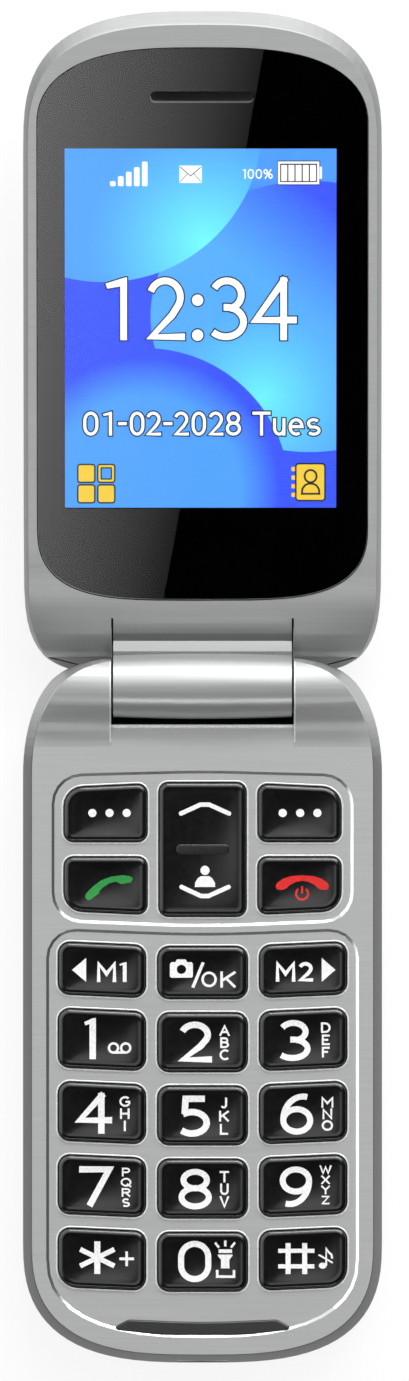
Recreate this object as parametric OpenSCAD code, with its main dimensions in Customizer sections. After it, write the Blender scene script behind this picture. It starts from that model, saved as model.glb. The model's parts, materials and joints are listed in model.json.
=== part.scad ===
// Flip phone, open: the keypad half lies on its back, the display half is raised a little.
// X is the width, Y runs up the open phone from keypad end to display end, Z comes out of the front face.

/* [Base half] */
// Width of the base half
base_w = 56.8; // [54:0.2:66]
// Reach of the base half from the hinge axis to its far end
base_len = 107.1; // [100:0.1:125]
// Thickness of the base half, back to front face; the hinge axis lies in the front plane
base_t = 10.5; // [9.5:0.1:14]
// Height of the seam between the base's two shells above its back
base_seam_z = 5; // [4.6:0.1:5.6]
// Narrowing of the base's front edge, from the seam up to the face
base_shoulder = 1.45; // [0.6:0.05:1.8]

/* [Display half] */
// How much narrower the display half is than the base half
lid_w_less = 0.3; // [0:0.1:1]
// How much less far the display half reaches from the hinge axis than the base half
lid_len_less = 0.4; // [0:0.1:1]
// Thickness of the display half
lid_t = 8.5; // [8.3:0.1:11]
// Gap between the two faces when the phone is closed
face_gap = 0.9; // [0.8:0.05:1.5]
// Depth of the seam between the lid's two shells below its face
lid_seam_d = 4.3; // [4:0.1:5]
// Narrowing of the lid's front edge at the sides
lid_shoulder = 0.75; // [0.3:0.05:1.2]
// Narrowing of the lid's front edge at the far end
lid_end_shoulder = 1.6; // [0.8:0.1:2.2]
// Angle by which the fully open lid stands above the plane of the base
open_tilt = 9; // [0:1:20]

/* [Shells] */
// Thickness of the casings' flat walls
wall = 1.2; // [1:0.1:1.5]
// Thickness of the side walls, measured at the seam
side_wall = 2.7; // [2.5:0.1:3]
// Shadow gap at the seam between two shells
seam_gap = 0.12; // [0.05:0.01:0.2]
// Thickness of the lid's front wall, which carries the glass
lid_face_wall = 2; // [1.8:0.1:2.2]

/* [Hinge] */
// Radius of the lid's hinge barrel at its ends
barrel_r = 4.9; // [4.5:0.1:5.3]
// Swelling of the barrel's radius towards its middle
barrel_crown = 0.3; // [0:0.05:0.4]
// Radius of the base's two hinge knuckles
knuckle_r = 4.9; // [4.5:0.1:5.3]
// Length of the lid's hinge barrel
barrel_len = 28.2; // [24:0.2:32]
// Side gap between the barrel and each knuckle
knuckle_gap = 0.35; // [0.3:0.05:0.6]
// Radial gap between the barrel and the hollow that it turns in
scoop_gap = 0.75; // [0.5:0.05:1]
// Radius of the fillet that sweeps from the base's face up to a knuckle
sweep_r = 7; // [5:0.5:7.5]
// Radius of the hinge pins in the barrel
pin_r = 1.8; // [1.5:0.1:2.2]
// Radial running clearance of the pins in the barrel
pin_fit = 0.05; // [0.02:0.01:0.1]
// Length of each pin inside the barrel
pin_reach = 9; // [6:0.5:11]
// Radius of the cam cartridge and of the hollow pin's head, in the knuckles
cartridge_r = 2.4; // [2.3:0.1:2.6]
// Length of the cartridge in its knuckle
cartridge_len = 5; // [4:0.5:5.5]
// Radius of the hollow through the right pin
pin_bore_r = 1.1; // [0.8:0.1:1.2]

/* [Display] */
// Width of the casing on each side of the glass
lens_margin = 2.25; // [2:0.05:3]
// Distance of the glass's lower edge from the hinge axis
lens_y = 13.6; // [12.6:0.1:14]
// Length of the casing between the glass and the far end
lens_far_margin = 5.3; // [5:0.1:7]
// Thickness of the glass
lens_t = 1; // [0.7:0.05:1.1]
// Gap round the glass
lens_gap = 0.15; // [0.1:0.01:0.2]
// Depth of the glass below the lid's face
lens_sink = 0.08; // [0:0.01:0.2]
// Width of the black border on each side of the lit screen
screen_margin = 4.6; // [4:0.1:7]
// Height of the lit screen as a share of its width
screen_aspect = 1.336; // [1.2:0.004:1.35]
// Most that the lit screen's height takes of the glass
screen_share = 0.652; // [0.5:0.002:0.66]
// Height of the black border below the lit screen
screen_up = 14.6; // [13:0.1:16]
// Thickness of the display panel
panel_t = 1.4; // [1:0.1:1.5]
// Width of the earpiece slot
ear_w = 16.4; // [12:0.2:18]
// Height of the earpiece slot
ear_h = 1.5; // [1:0.1:2]
// Distance of the earpiece slot below the glass's far edge
ear_down = 7.6; // [6.6:0.1:8.6]

/* [Keys] */
// Depth of the two recessed key panels
panel_sink = 0.3; // [0.1:0.05:0.4]
// Width of the sloping edge round each panel
panel_edge = 0.45; // [0.1:0.05:0.6]
// Gap between a key and its hole
key_gap = 0.2; // [0.15:0.01:0.25]
// Height of the keys above the base's front plane
key_rise = 0.42; // [0.2:0.02:0.5]
// Width of the bevel round each key's top
key_bevel = 0.7; // [0.4:0.05:0.8]
// Depth of the hollow in each key's top
key_dish = 0.12; // [0.05:0.01:0.15]
// Width of the flange that keeps a key in its hole
key_flange = 0.45; // [0.3:0.05:0.5]
// Travel of a key
key_travel = 0.35; // [0.2:0.05:0.4]
// Gap between two rows of number keys
row_gap = 2.46; // [2.2:0.02:3]
// Gap between the middle column of keys and the outer ones
column_gap = 2.1; // [1.8:0.05:3]
// Fall of an outer key's edges towards the middle key
key_slant = 0.6; // [0:0.05:0.8]

/* [Power] */
// How much narrower the battery is than its cover, on each side
battery_margin = 3; // [2.6:0.1:6]
// How much shorter the battery is than its cover
battery_less = 8; // [7.5:0.5:16]
// Width of the casing on each side of the battery cover
cover_margin = 6.4; // [5:0.2:8]
// Distance of the battery cover from the base's far end
cover_far = 20.1; // [19:0.1:24]
// Distance of the battery cover from the hinge axis
cover_near = 25; // [24:0.5:30]
// Gap round the battery cover
cover_gap = 0.15; // [0.1:0.01:0.25]

/* [Camera] */
// Distance of the camera from the display half's far end
camera_down = 14.7; // [12:0.1:18]
// Radius of the camera window
camera_r = 4.2; // [3.5:0.1:5]
// Distance between the camera and the torch
torch_dx = 8.6; // [8:0.1:10]
// Radius of the torch's window
torch_r = 1.7; // [1.2:0.1:2]

/* [Hidden] */
$fn = 64;

eps = 0.05;      // overshoot of a cut past the face it opens
far = 200;       // reach of a cut that passes everything
quarter_n = 20;  // steps in each quarter of a casing's outline
arc_n = 5;       // steps in each rounded corner of a key or plate
silver = [0.67, 0.68, 0.68];
black = [0.1, 0.1, 0.11];
green = [0.05, 0.3, 0.15];
steel = [0.75, 0.75, 0.77];
gold = [0.8, 0.65, 0.3];

// Where things lie. Base: y from the hinge axis, z from the back. Lid: y and z from the hinge axis.
far_y = -base_len;
lid_w = base_w - lid_w_less;
lid_len = base_len - lid_len_less;
lid_face = -face_gap;
lid_back = lid_face - lid_t;
lid_seam = lid_face - lid_seam_d;
lid_top_reach = lid_len*cos(open_tilt) - lid_seam*sin(open_tilt);
hinge_y = (base_len - lid_top_reach)/2;
barrel_half = barrel_len/2;
knuckle_x = barrel_half + knuckle_gap;

module in_base() translate([0, hinge_y, 0]) children();
module in_lid() translate([0, hinge_y, base_t]) rotate([open_tilt, 0, 0]) children();

// ---- outlines ----
// Each end of a casing is [depth, roundness across, roundness along] of a rounded quarter.
base_far_end = [19, 3, 2.6];
base_hinge_end = [19, 5.4, 2];
lid_hinge_end = [27.3, 2.8, 5.6];
lid_far_end = [22.4, 2.8, 3.1];
lens_low_end = [11.5, 4, 2.5];
lens_high_end = [12, 3, 2.2];

function quarter_pt(half_w, end, a) = [half_w*pow(cos(a), 2/end[1]), end[0]*(1 - pow(sin(a), 2/end[2]))];

// Counter-clockwise outline, straight sides and two rounded ends, from y0 to y1, drawn in by the insets.
function outline(w, y0, y1, low, high, side = 0, e0 = 0, e1 = 0, n = quarter_n) =
  let (h = w/2 - side, lo = [low[0] - e0, low[1], low[2]], hi = [high[0] - e1, high[1], high[2]])
  concat(
    [for (i = [0:n]) let (q = quarter_pt(h, lo, 90 - 90*i/n)) [q[0], y0 + e0 + q[1]]],
    [for (i = [0:n]) let (q = quarter_pt(h, hi, 90*i/n)) [q[0], y1 - e1 - q[1]]],
    [for (i = [1:n]) let (q = quarter_pt(h, hi, 90 - 90*i/n)) [-q[0], y1 - e1 - q[1]]],
    [for (i = [0:n-1]) let (q = quarter_pt(h, lo, 90*i/n)) [-q[0], y0 + e0 + q[1]]]);

function unit(v) = v/norm(v);
function turn(e1, e2) = atan2(e1[0]*e2[1] - e1[1]*e2[0], e1*e2);

// Counter-clockwise polygon of corners [x, y, radius], each rounded, drawn in by d.
function rounded(corners, d = 0, n = arc_n) =
  let (m = len(corners))
  [for (i = [0:m-1])
    let (c = corners[i], p = corners[(i + m - 1) % m], q = corners[(i + 1) % m],
         v = [c[0], c[1]], e1 = unit(v - [p[0], p[1]]), e2 = unit([q[0], q[1]] - v),
         t = turn(e1, e2), s = t > 0 ? 1 : -1, mid = unit(e2 - e1),
         centre = v + mid*c[2]/cos(t/2), a0 = atan2(-e1[0], e1[1]), r = c[2] - s*d)
    for (k = [0:n]) centre + s*r*[cos(a0 + t*k/n), sin(a0 + t*k/n)]];

function box_corners(x0, y0, x1, y1, r) = [[x0, y0, r], [x1, y0, r], [x1, y1, r], [x0, y1, r]];
function mirrored(corners) = [for (i = [len(corners)-1:-1:0]) [-corners[i][0], corners[i][1], corners[i][2]]];
function middle(pts) = [for (k = [0, 1]) let (v = [for (p = pts) p[k]]) (min(v) + max(v))/2];

// Solid through a stack of rings [points, z], closed by fans about each end's middle.
module loft(rings) {
  n = len(rings[0][0]);
  m = len(rings);
  last = m - 1;
  function ring_pt(j, i) = j*n + i % n;
  low_c = m*n;
  polyhedron(
    points = concat([for (r = rings) for (p = r[0]) [p[0], p[1], r[1]]],
      [concat(middle(rings[0][0]), rings[0][1]), concat(middle(rings[last][0]), rings[last][1])]),
    faces = concat(
      [for (i = [0:n-1]) [ring_pt(0, i), ring_pt(0, i+1), low_c]],
      [for (i = [0:n-1]) [ring_pt(last, i+1), ring_pt(last, i), low_c + 1]],
      [for (j = [0:m-2]) for (i = [0:n-1]) [ring_pt(j, i), ring_pt(j+1, i), ring_pt(j+1, i+1)]],
      [for (j = [0:m-2]) for (i = [0:n-1]) [ring_pt(j, i), ring_pt(j+1, i+1), ring_pt(j, i+1)]]),
    convexity = 6);
}

module plate(pts, z0, z1) translate([0, 0, z0]) linear_extrude(z1 - z0) polygon(pts);
module block(x0, x1, y0, y1, z0, z1) translate([x0, y0, z0]) cube([x1 - x0, y1 - y0, z1 - z0]);
module drum(r, x0, x1) translate([x0, 0, 0]) rotate([0, 90, 0]) cylinder(r = r, h = x1 - x0);
module post(x, y, r, z0, z1) translate([x, y, z0]) cylinder(r = r, h = z1 - z0);
// Prism across the width, from a profile of [y, z] points.
module across(profile, x0, x1)
  translate([x0, 0, 0]) rotate([90, 0, 90]) linear_extrude(x1 - x0) polygon(profile);

// ---- base casing ----
back_round = 4.2;  // width of the rounding between a half's side and its back
hinge_end_share = 0.5;  // the hinge end is drawn in less than the sides
function base_ring(side) =
  outline(base_w, -base_len, knuckle_r + 0.2, base_far_end, base_hinge_end, side, side, hinge_end_share*side);
shoulder_steps = [[1, 1], [0.88, 0.95], [0.1, 0.18], [0, 0]];  // share of inset, share of height
back_steps = [[0, 0], [0.04, 0.28], [0.17, 0.57], [0.4, 0.82], [0.69, 0.95], [1, 1]];

fillet_y = sqrt(knuckle_r*knuckle_r + 2*knuckle_r*sweep_r);  // where the sweep starts on the face
touch_a = atan2(sweep_r, -fillet_y);
underside_a = -50;  // where the knuckle leaves its circle for the sloping underside
underside_run = (base_t + knuckle_r*sin(underside_a))*tan(-underside_a);

// Side view of the base, [y, z] from the back: flat face, sweep, knuckle and sloping underside
function base_profile() = concat(
  [[-base_len - 5, -5], [-base_len - 5, base_t]],
  [for (i = [0:8]) let (a = -90 + (touch_a - 180 + 90)*i/8)
    [-fillet_y + sweep_r*cos(a), base_t + sweep_r + sweep_r*sin(a)]],
  [for (i = [1:24]) let (a = touch_a + (underside_a - touch_a)*i/24)
    [knuckle_r*cos(a), base_t + knuckle_r*sin(a)]],
  [[knuckle_r*cos(underside_a) - underside_run, 0], [knuckle_r*cos(underside_a) - underside_run, -5]]);

module base_outer_front() {
  top_z = base_t + knuckle_r + 1;
  intersection() {
    loft(concat(
      [for (k = [3:-1:0]) let (s = shoulder_steps[k])
        [base_ring(base_shoulder*s[0]), base_seam_z + seam_gap + (base_t - base_seam_z - seam_gap)*s[1]]],
      [[base_ring(base_shoulder + 0.5), top_z]]));
    across(base_profile(), -base_w, base_w);
  }
}

module base_outer_rear() intersection() {
  loft([for (k = [5:-1:0]) let (s = back_steps[k])
    [base_ring(back_round*s[0]), base_seam_z*(1 - s[1])]]);
  across(base_profile(), -base_w, base_w);
}

// Hollow between the knuckles in which the barrel turns, with the lip that leads into it
lip_w = 1;
lip_d = 0.6;
scoop_r = barrel_r + scoop_gap;
module barrel_room() {
  lip_y = -scoop_r;
  translate([0, 0, base_t]) drum(scoop_r, -knuckle_x, knuckle_x);
  block(-knuckle_x, knuckle_x, -fillet_y - 1, far, base_t, base_t + far);
  translate([0, 0, base_t]) across([[lip_y - lip_w, eps], [lip_y - lip_w, 0], [lip_y, -lip_d], [0, -lip_d],
    [0, eps]], -knuckle_x, knuckle_x);
  // the lid's neck passes here
  block(-knuckle_x, knuckle_x, 0, far, base_t - scoop_r + eps, base_t + far);
}

// Inside of the base, one straight-walled room that stops short of the hinge
room_end = -fillet_y + 1.2;
module base_room(z0, z1) plate(
  outline(base_w, -base_len, room_end, base_far_end, [8, 4, 3], side_wall, side_wall, 0), z0, z1);

// ---- key panels ----
upper_w = base_w - 9.1;
lower_w = base_w - 7.4;
upper_top = -13.3;
lower_bottom = far_y + 4.1;
pad_len = upper_top - lower_bottom;
// y at a share of the way down the keypad
function down(share) = upper_top - share*pad_len;
upper_bottom = down(0.2776);
crown = 0.65;
function upper_panel() = [
  [-upper_w/2, upper_bottom + crown + 0.3, 4.8], [0, upper_bottom, 200],
  [upper_w/2, upper_bottom + crown + 0.3, 4.8], [upper_w/2, upper_top - crown, 4.8], [0, upper_top, 200],
  [-upper_w/2, upper_top - crown, 4.8]];
panel_ridge = 0.95;
lower_top = upper_bottom - panel_ridge;
lower_end = [12.6, 2.6, 2.4];
function lower_quarter(d, i) =
  quarter_pt(lower_w/2 - d, [lower_end[0] - d, lower_end[1], lower_end[2]], 90 - 9*i);
// the lower panel's top follows the upper panel's bottom and its far end is rounded like the casing
function lower_panel(d) = concat(
  [for (i = [0:10]) let (q = lower_quarter(d, i)) [q[0], lower_bottom + d + q[1]]],
  [for (p = rounded([[lower_w/2, lower_bottom, 1], [lower_w/2, lower_top + crown + 0.3, 4.6],
    [0, lower_top, 200], [-lower_w/2, lower_top + crown + 0.3, 4.6], [-lower_w/2, lower_bottom, 1]], d))
    if (p[1] > lower_bottom + 20) p],
  [for (i = [10:-1:1]) let (q = lower_quarter(d, i)) [-q[0], lower_bottom + d + q[1]]]);

module panel_pockets() {
  floor_z = base_t - panel_sink;
  loft([[rounded(upper_panel(), panel_edge), floor_z], [rounded(upper_panel()), base_t],
    [rounded(upper_panel()), base_t + eps]]);
  loft([[lower_panel(panel_edge), floor_z], [lower_panel(0), base_t], [lower_panel(0), base_t + eps]]);
}

// ---- keys ----
middle_half = base_w*0.1232;
nav_half = middle_half - 0.2;
soft_x0 = nav_half + column_gap - 0.05;
soft_x1 = upper_w/2 - 2.05;
number_x0 = middle_half + column_gap;
number_x1 = lower_w/2 - 2;
soft_top = down(0.0251);
soft_bottom = down(0.1249);
call_top = down(0.1539);
call_bottom = down(0.2531);
m_top = down(0.31);
m_h = 0.0898*pad_len;
row_1_top = down(0.427);
row_pitch = 0.1289*pad_len;
key_h = row_pitch - row_gap;
corner = 1.75;
soft_corner = 1.4;
big_corner = 3;

// Left-hand outer keys, corners counter-clockwise from the lower left
function soft_corners() = [[-soft_x1, soft_bottom, soft_corner], [-soft_x0, soft_bottom, soft_corner],
  [-soft_x0, soft_top, soft_corner], [-soft_x1, soft_top - key_slant, big_corner]];
function call_corners() = [
  [-soft_x1, call_bottom + key_slant, big_corner], [-soft_x0, call_bottom, soft_corner],
  [-soft_x0, call_top, soft_corner], [-soft_x1, call_top, soft_corner]];
function outer_corners(top, h, low_r = corner) = [
  [-number_x1, top - h + key_slant, low_r], [-number_x0, top - h, corner],
  [-number_x0, top, corner], [-number_x1, top + key_slant, corner]];
function middle_corners(top, h) = box_corners(-middle_half, top - h - 0.15, middle_half, top - 0.15, corner);
function nav_corners() = box_corners(-nav_half, call_bottom - 0.3, nav_half, soft_top + 0.2, soft_corner);
function row_top(row) = row_1_top - row*row_pitch;
nav_axis_y = (call_bottom + soft_top)/2;  // the nav key rocks about a line across the phone

// Every key: name and corners
KEYS = concat(
  [["soft_left_key", soft_corners()], ["soft_right_key", mirrored(soft_corners())],
   ["call_key", call_corners()], ["end_key", mirrored(call_corners())], ["nav_key", nav_corners()],
   ["m1_key", outer_corners(m_top, m_h)], ["camera_key", middle_corners(m_top, m_h)],
   ["m2_key", mirrored(outer_corners(m_top, m_h))]],
  [for (row = [0:2]) for (col = [0:2]) [str("key_", 3*row + col + 1),
    col == 0 ? outer_corners(row_top(row), key_h)
    : col == 1 ? middle_corners(row_top(row), key_h) : mirrored(outer_corners(row_top(row), key_h))]],
  [["star_key", outer_corners(row_top(3), key_h, big_corner)], ["key_0", middle_corners(row_top(3), key_h)],
   ["hash_key", mirrored(outer_corners(row_top(3), key_h, big_corner))]]);

battery_t = base_t - 6.1;  // the rest is the cover below and the boards, sheet, keys and wall above
bay_z0 = wall + 0.1;
bay_z1 = bay_z0 + battery_t + 0.05;
bay_roof = 0.3;
board_z = bay_z1 + bay_roof + 0.35;  // underside of the main board
board_t = 0.8;
dome_t = 0.25;
sheet_t = 0.55;
sheet_z = board_z + board_t + dome_t + eps;
face_under = base_t - panel_sink - wall + 0.1;  // underside of the base's front wall
key_z0 = sheet_z + sheet_t + key_travel + eps;
flange_z1 = face_under - eps;
rocker_lift = 0.3;        // room that the rocking nav key needs above and below its flange

module key_solid(corners) {
  top_z = base_t + key_rise;
  rocks = corners == nav_corners();
  flange_top = rocks ? flange_z1 - rocker_lift : flange_z1;
  plate(rounded(corners, -key_flange), key_z0 - (rocks ? eps : 0), flange_top);
  loft([[rounded(corners), flange_top - eps], [rounded(corners), top_z - 0.3],
    [rounded(corners, 0.12), top_z - 0.1], [rounded(corners, key_bevel - 0.1), top_z],
    [rounded(corners, key_bevel + 0.25), top_z - key_dish]]);
}

module key(name) color(black) in_base() for (k = KEYS) if (k[0] == name) key_solid(k[1]);

// ---- screws ----
screw_r = 0.7;
screw_fit = 0.05;
head_r = 1.35;
head_t = 0.8;
boss_r = 1.7;
base_screw_xy = [[base_w/2 - 7.9, room_end - 3.4], [base_w/2 - 8.9, far_y + 7.6]];
module at_screws(xy) for (p = xy) for (s = [-1, 1]) translate([s*p[0], p[1], 0]) children();

// ---- base front shell ----
mic_x = base_w/4 + 0.1;
mic_side_y = far_y + 5.5;
function mic_outline() = [[-mic_x, mic_side_y, 0.3], [-0.45*mic_x, mic_side_y - 0.9, 30],
  [0.45*mic_x, mic_side_y - 0.9, 30], [mic_x, mic_side_y, 0.3], [mic_x - 2.6, mic_side_y + 1.4, 1.5],
  [0, mic_side_y + 0.9, 120], [2.6 - mic_x, mic_side_y + 1.4, 1.5]];
usb_w = 7.6;
usb_h = 2.7;
usb_z = board_z - usb_h;
usb_room = 0.2;

module base_front_shell() color(silver) in_base() difference() {
  union() {
    difference() {
      base_outer_front();
      base_room(0, face_under);
    }
    at_screws(base_screw_xy) cylinder(r = boss_r, h = face_under + eps);
  }
  block(-far, far, -far, far, -far, base_seam_z + seam_gap);
  at_screws(base_screw_xy) translate([0, 0, -eps]) cylinder(r = screw_r + screw_fit, h = 8);
  barrel_room();
  panel_pockets();
  for (k = KEYS) plate(rounded(k[1], -key_gap), 0, base_t + 1);
  plate(rounded(mic_outline(), -0.1), face_under + 0.4, base_t + 1);
  post(0, mic_y, 0.6, 0, base_t);
  hinge_bores();
  usb_cut();
}

// Bores for the cartridge and the hollow pin, from the gap beside the barrel outwards
module hinge_bores() translate([0, 0, base_t]) {
  drum(cartridge_r + 0.02, -knuckle_x - cartridge_len, -knuckle_x + eps);
  drum(cartridge_r + 0.02, knuckle_x - eps, knuckle_x + cartridge_len);
}

module usb_cut() plate(
  rounded(box_corners(-usb_w/2 - usb_room, -far, usb_w/2 + usb_room, -base_len + 8, 0.1), 0, 1),
  usb_z - usb_room, board_z + usb_room);

// ---- base rear shell, cover and battery ----
cover_w = base_w - 2*cover_margin;
cover_y0 = far_y + cover_far;
cover_y1 = -cover_near;
ledge = 1.6;
cover_t = wall - 0.1;
battery_w = cover_w - 2*battery_margin;
battery_y0 = cover_y0 + ledge + 1.2;
battery_y1 = battery_y0 + cover_y1 - cover_y0 - battery_less;
bay_gap = 0.3;
bay_wall = 0.8;
grille_y = far_y + 12.6;

function cover_outline() = box_corners(-cover_w/2, cover_y0, cover_w/2, cover_y1, 4);

module base_rear_shell() color(silver) in_base() difference() {
  union() {
    difference() {
      base_outer_rear();
      base_room(wall, far);
    }
    // walls and roof of the battery bay
    intersection() {
      block(-battery_w/2 - bay_gap - bay_wall, battery_w/2 + bay_gap + bay_wall,
        battery_y0 - bay_gap - bay_wall, battery_y1 + bay_gap, wall - eps, bay_z1 + bay_roof);
      base_room(0, far);
    }
    at_screws(base_screw_xy) translate([0, 0, eps]) cylinder(r = boss_r, h = base_seam_z - eps);
  }
  // bay
  block(-battery_w/2 - bay_gap, battery_w/2 + bay_gap, battery_y0 - bay_gap, battery_y1 + bay_gap + eps,
    -eps, bay_z1);
  // seat of the cover
  plate(rounded(cover_outline(), -cover_gap), -eps, cover_t);
  at_screws(base_screw_xy) {
    translate([0, 0, -eps]) cylinder(r = head_r + 0.1, h = 0.5 + head_t + eps);
    translate([0, 0, -eps]) cylinder(r = screw_r + screw_fit, h = far);
  }
  for (i = [-3:3]) for (j = [0, 1]) post(i*1.9 - 8 + j*0.95, grille_y + j*1.7, 0.5, -eps, far);
  barrel_room();
  usb_cut();
}

module battery_cover() color(silver) in_base() difference() {
  plate(rounded(cover_outline()), 0, cover_t - eps);
  // finger notch
  translate([0, cover_y1, -3.4]) sphere(r = 4);
}

module battery() color([0.2, 0.2, 0.22]) in_base()
  plate(rounded(box_corners(-battery_w/2, battery_y0, battery_w/2, battery_y1, 1.2)),
    bay_z0, bay_z0 + battery_t);

module battery_contacts() color(gold) in_base() {
  y0 = battery_y1 + bay_gap + 0.1;
  block(-6, 6, y0, y0 + 3, board_z - 3, board_z);
  for (x = [-4, 0, 4]) block(x - 0.8, x + 0.8, battery_y1 + eps, y0 + eps, board_z - 2.6, board_z - 1.4);
}

// ---- boards ----
board_gap = 0.5;
board_end = room_end - 1.5;
module main_board() color(green) in_base() difference() {
  plate(outline(base_w, -base_len, board_end, base_far_end, [8, 4, 3],
    side_wall + board_gap, side_wall + 1.2, 0), board_z, board_z + board_t);
  at_screws(base_screw_xy) cylinder(r = boss_r + 0.3, h = far);
}

chips_x = base_w/2 - 10.9;  // reach of the parts under the board, between the hinge end's screws
chips_y = board_end - 0.3;
chips_len = 12.3;
chips_z = board_z - 1.5;
module board_shields() color(steel) in_base() {
  block(1.5, chips_x, chips_y - chips_len, chips_y, chips_z, board_z);
  block(-chips_x - 4.5, -12, cover_y0 + 0.4, cover_y0 + 9, board_z - 0.15, board_z);
}

card_w = 14.5;
module sim_socket() color(steel) in_base() difference() {
  block(-chips_x, card_w - chips_x, chips_y - chips_len, chips_y, chips_z, board_z);
  block(0.6 - chips_x, card_w - 0.6 - chips_x, chips_y - chips_len - 0.5, chips_y - 0.8,
    chips_z + 0.4, board_z - 0.4);
}

sheet_x = lower_w/2 - 1.1;
module keypad_sheet() color([0.5, 0.5, 0.52]) in_base() difference() {
  union() {
    plate(rounded(box_corners(-sheet_x, far_y + 8, sheet_x, upper_top - 0.4, 3)), sheet_z, sheet_z + sheet_t);
    // rib that the nav key rocks on
    translate([0, nav_axis_y, 0]) block(-4, 4, -0.3, 0.3, sheet_z + sheet_t - eps, key_z0 - 2*eps);
  }
  at_screws(base_screw_xy) cylinder(r = boss_r + 0.3, h = far);
}

function key_centre(k) = middle(rounded(k[1]));
module key_domes() color(steel) in_base() for (k = KEYS) {
  c = key_centre(k);
  if (k[0] == "nav_key") {
    for (s = [-1, 1]) translate([c[0], c[1] + s*7, board_z + board_t]) cylinder(r1 = 2, r2 = 1.2, h = dome_t);
  } else translate([c[0], c[1], board_z + board_t]) cylinder(r1 = 2, r2 = 1.2, h = dome_t);
}

mic_y = far_y + 5.8;
module mic_insert() color(black) in_base()
  loft([[rounded(mic_outline()), face_under + 0.4], [rounded(mic_outline()), base_t - panel_sink + 0.05],
    [rounded(mic_outline(), 0.15), base_t - panel_sink + 0.15]]);
module microphone() color(gold) in_base() post(0, mic_y, 1.9, board_z + board_t, board_z + board_t + 1.1);

module loudspeaker() color(black) in_base()
  plate(rounded(box_corners(-16, far_y + 9.1, -1, far_y + 18.1, 1.5)), wall, 4.2);

module vibration_motor() color(steel) in_base() translate([0, far_y + 14.1, board_z - 2]) {
  drum(2, 5, 12);
  drum(0.4, 12 - eps, 16);
  intersection() {
    drum(1.8, 12.6, 15.6);
    block(12, 16, -2, 2, -2, 0.3);
  }
  block(5.5, 11.5, -1.6, 1.6, 0, 2);
}

module usb_socket() color(steel) in_base() difference() {
  block(-usb_w/2, usb_w/2, -base_len + 1.2, -base_len + 6.8, usb_z, board_z);
  block(-usb_w/2 + 0.35, usb_w/2 - 0.35, -base_len, -base_len + 5.6, usb_z + 0.35, board_z - 0.35);
}

antenna_x = base_w/2 - 11.6;  // reach of the antenna, up to the screw beside it
module antenna() color(gold) in_base()
  block(-antenna_x, -6, far_y + 5.4, far_y + 8.4, board_z - 1.5, board_z);

magnet_x = 13;
magnet_y = base_len - 8.5;
module hall_sensor() color(black) in_base()
  block(magnet_x - 1, magnet_x + 1, -magnet_y - 1, -magnet_y + 1, board_z - 0.7, board_z);

module screw(len) {
  cylinder(r = screw_r, h = len);
  difference() {
    cylinder(r = head_r, h = head_t);
    for (a = [0, 90]) rotate([0, 0, a]) translate([-0.85, -0.15, -eps]) cube([1.7, 0.3, 0.4]);
  }
}
module base_screws() color(steel) in_base() at_screws(base_screw_xy) translate([0, 0, 0.5]) screw(7);

module hinge_cartridge() color(steel) in_base() translate([0, 0, base_t]) {
  drum(cartridge_r, -knuckle_x - cartridge_len + 0.1, -knuckle_x);
  drum(pin_r, -knuckle_x - eps, -barrel_half + pin_reach);
}
module hinge_pin() color(steel) in_base() translate([0, 0, base_t]) difference() {
  union() {
    drum(cartridge_r, knuckle_x, knuckle_x + cartridge_len - 0.1);
    drum(pin_r, barrel_half - pin_reach, knuckle_x + eps);
  }
  drum(pin_bore_r, 0, far);
}

// ---- display half ----
function lid_ring(side, end) = outline(lid_w, -1.4, lid_len, lid_hinge_end, lid_far_end, side, side, end);
roll_y = 8.2;    // where the lid's face starts to roll back towards its hinge end
roll_r = 4.4;
rear_end_y = 1.6;  // the rear shell reaches past the front one at the hinge end
rear_end_r = 2.6;
neck_y = 10.7;   // where the middle of the face starts to fall towards the barrel

// Side view of the display half, [y, z] from the axis
function lid_profile() = concat(
  [[lid_len + 5, lid_face - lid_t - 5], [lid_len + 5, lid_face]],
  [for (i = [0:8]) let (a = 90 + 88*i/8) [roll_y + roll_r*cos(a), lid_face - roll_r + roll_r*sin(a)]],
  [for (i = [0:6]) let (a = 15*i)
    [rear_end_y + rear_end_r*(1 - cos(a)), lid_back + rear_end_r*(1 - sin(a))]],
  [[roll_y, lid_back - 5]]);

module lid_outer_front() intersection() {
  loft([for (k = [3:-1:0]) let (s = shoulder_steps[k])
    [lid_ring(lid_shoulder*s[0], lid_end_shoulder*s[0]),
      lid_seam + seam_gap + (lid_face - lid_seam - seam_gap)*s[1]]]);
  across(lid_profile(), -lid_w, lid_w);
}
module lid_outer_rear() intersection() {
  loft([for (k = [5:-1:0]) let (s = back_steps[k])
    [lid_ring(back_round*s[0], back_round*s[0]), lid_seam + (lid_back - lid_seam)*s[1]]]);
  across(lid_profile(), -lid_w, lid_w);
}

lid_room_y0 = 10.5;
module lid_room(z0, z1) plate(
  outline(lid_w, lid_room_y0, lid_len, [9, 4, 3], lid_far_end, side_wall, 0, side_wall), z0, z1);

lens_w = lid_w - 2*lens_margin;
lens_len = lid_len - lens_far_margin - lens_y;
lens_top = lid_face - lens_sink;
ledge_z = lens_top - lens_t - eps;
screen_w = min(lens_w - 2*screen_margin, lens_len*screen_share/screen_aspect);
screen_h = screen_w*screen_aspect;
screen_y = lens_y + screen_up;
lid_screw_xy = [[lid_w/2 - 5.65, screen_y - 4.2], [lid_w/2 - 6.75, screen_y + screen_h + 4.4]];
function lens_outline(d) =
  outline(lens_w, lens_y, lens_y + lens_len, lens_low_end, lens_high_end, d, d, d);
function slot_corners(w, h, y) = box_corners(-w/2, y - h/2, w/2, y + h/2, h/2 - 0.01);
ear_y = lens_y + lens_len - ear_down;
screen_x = -0.3;
window_gap = 0.6;

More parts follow.
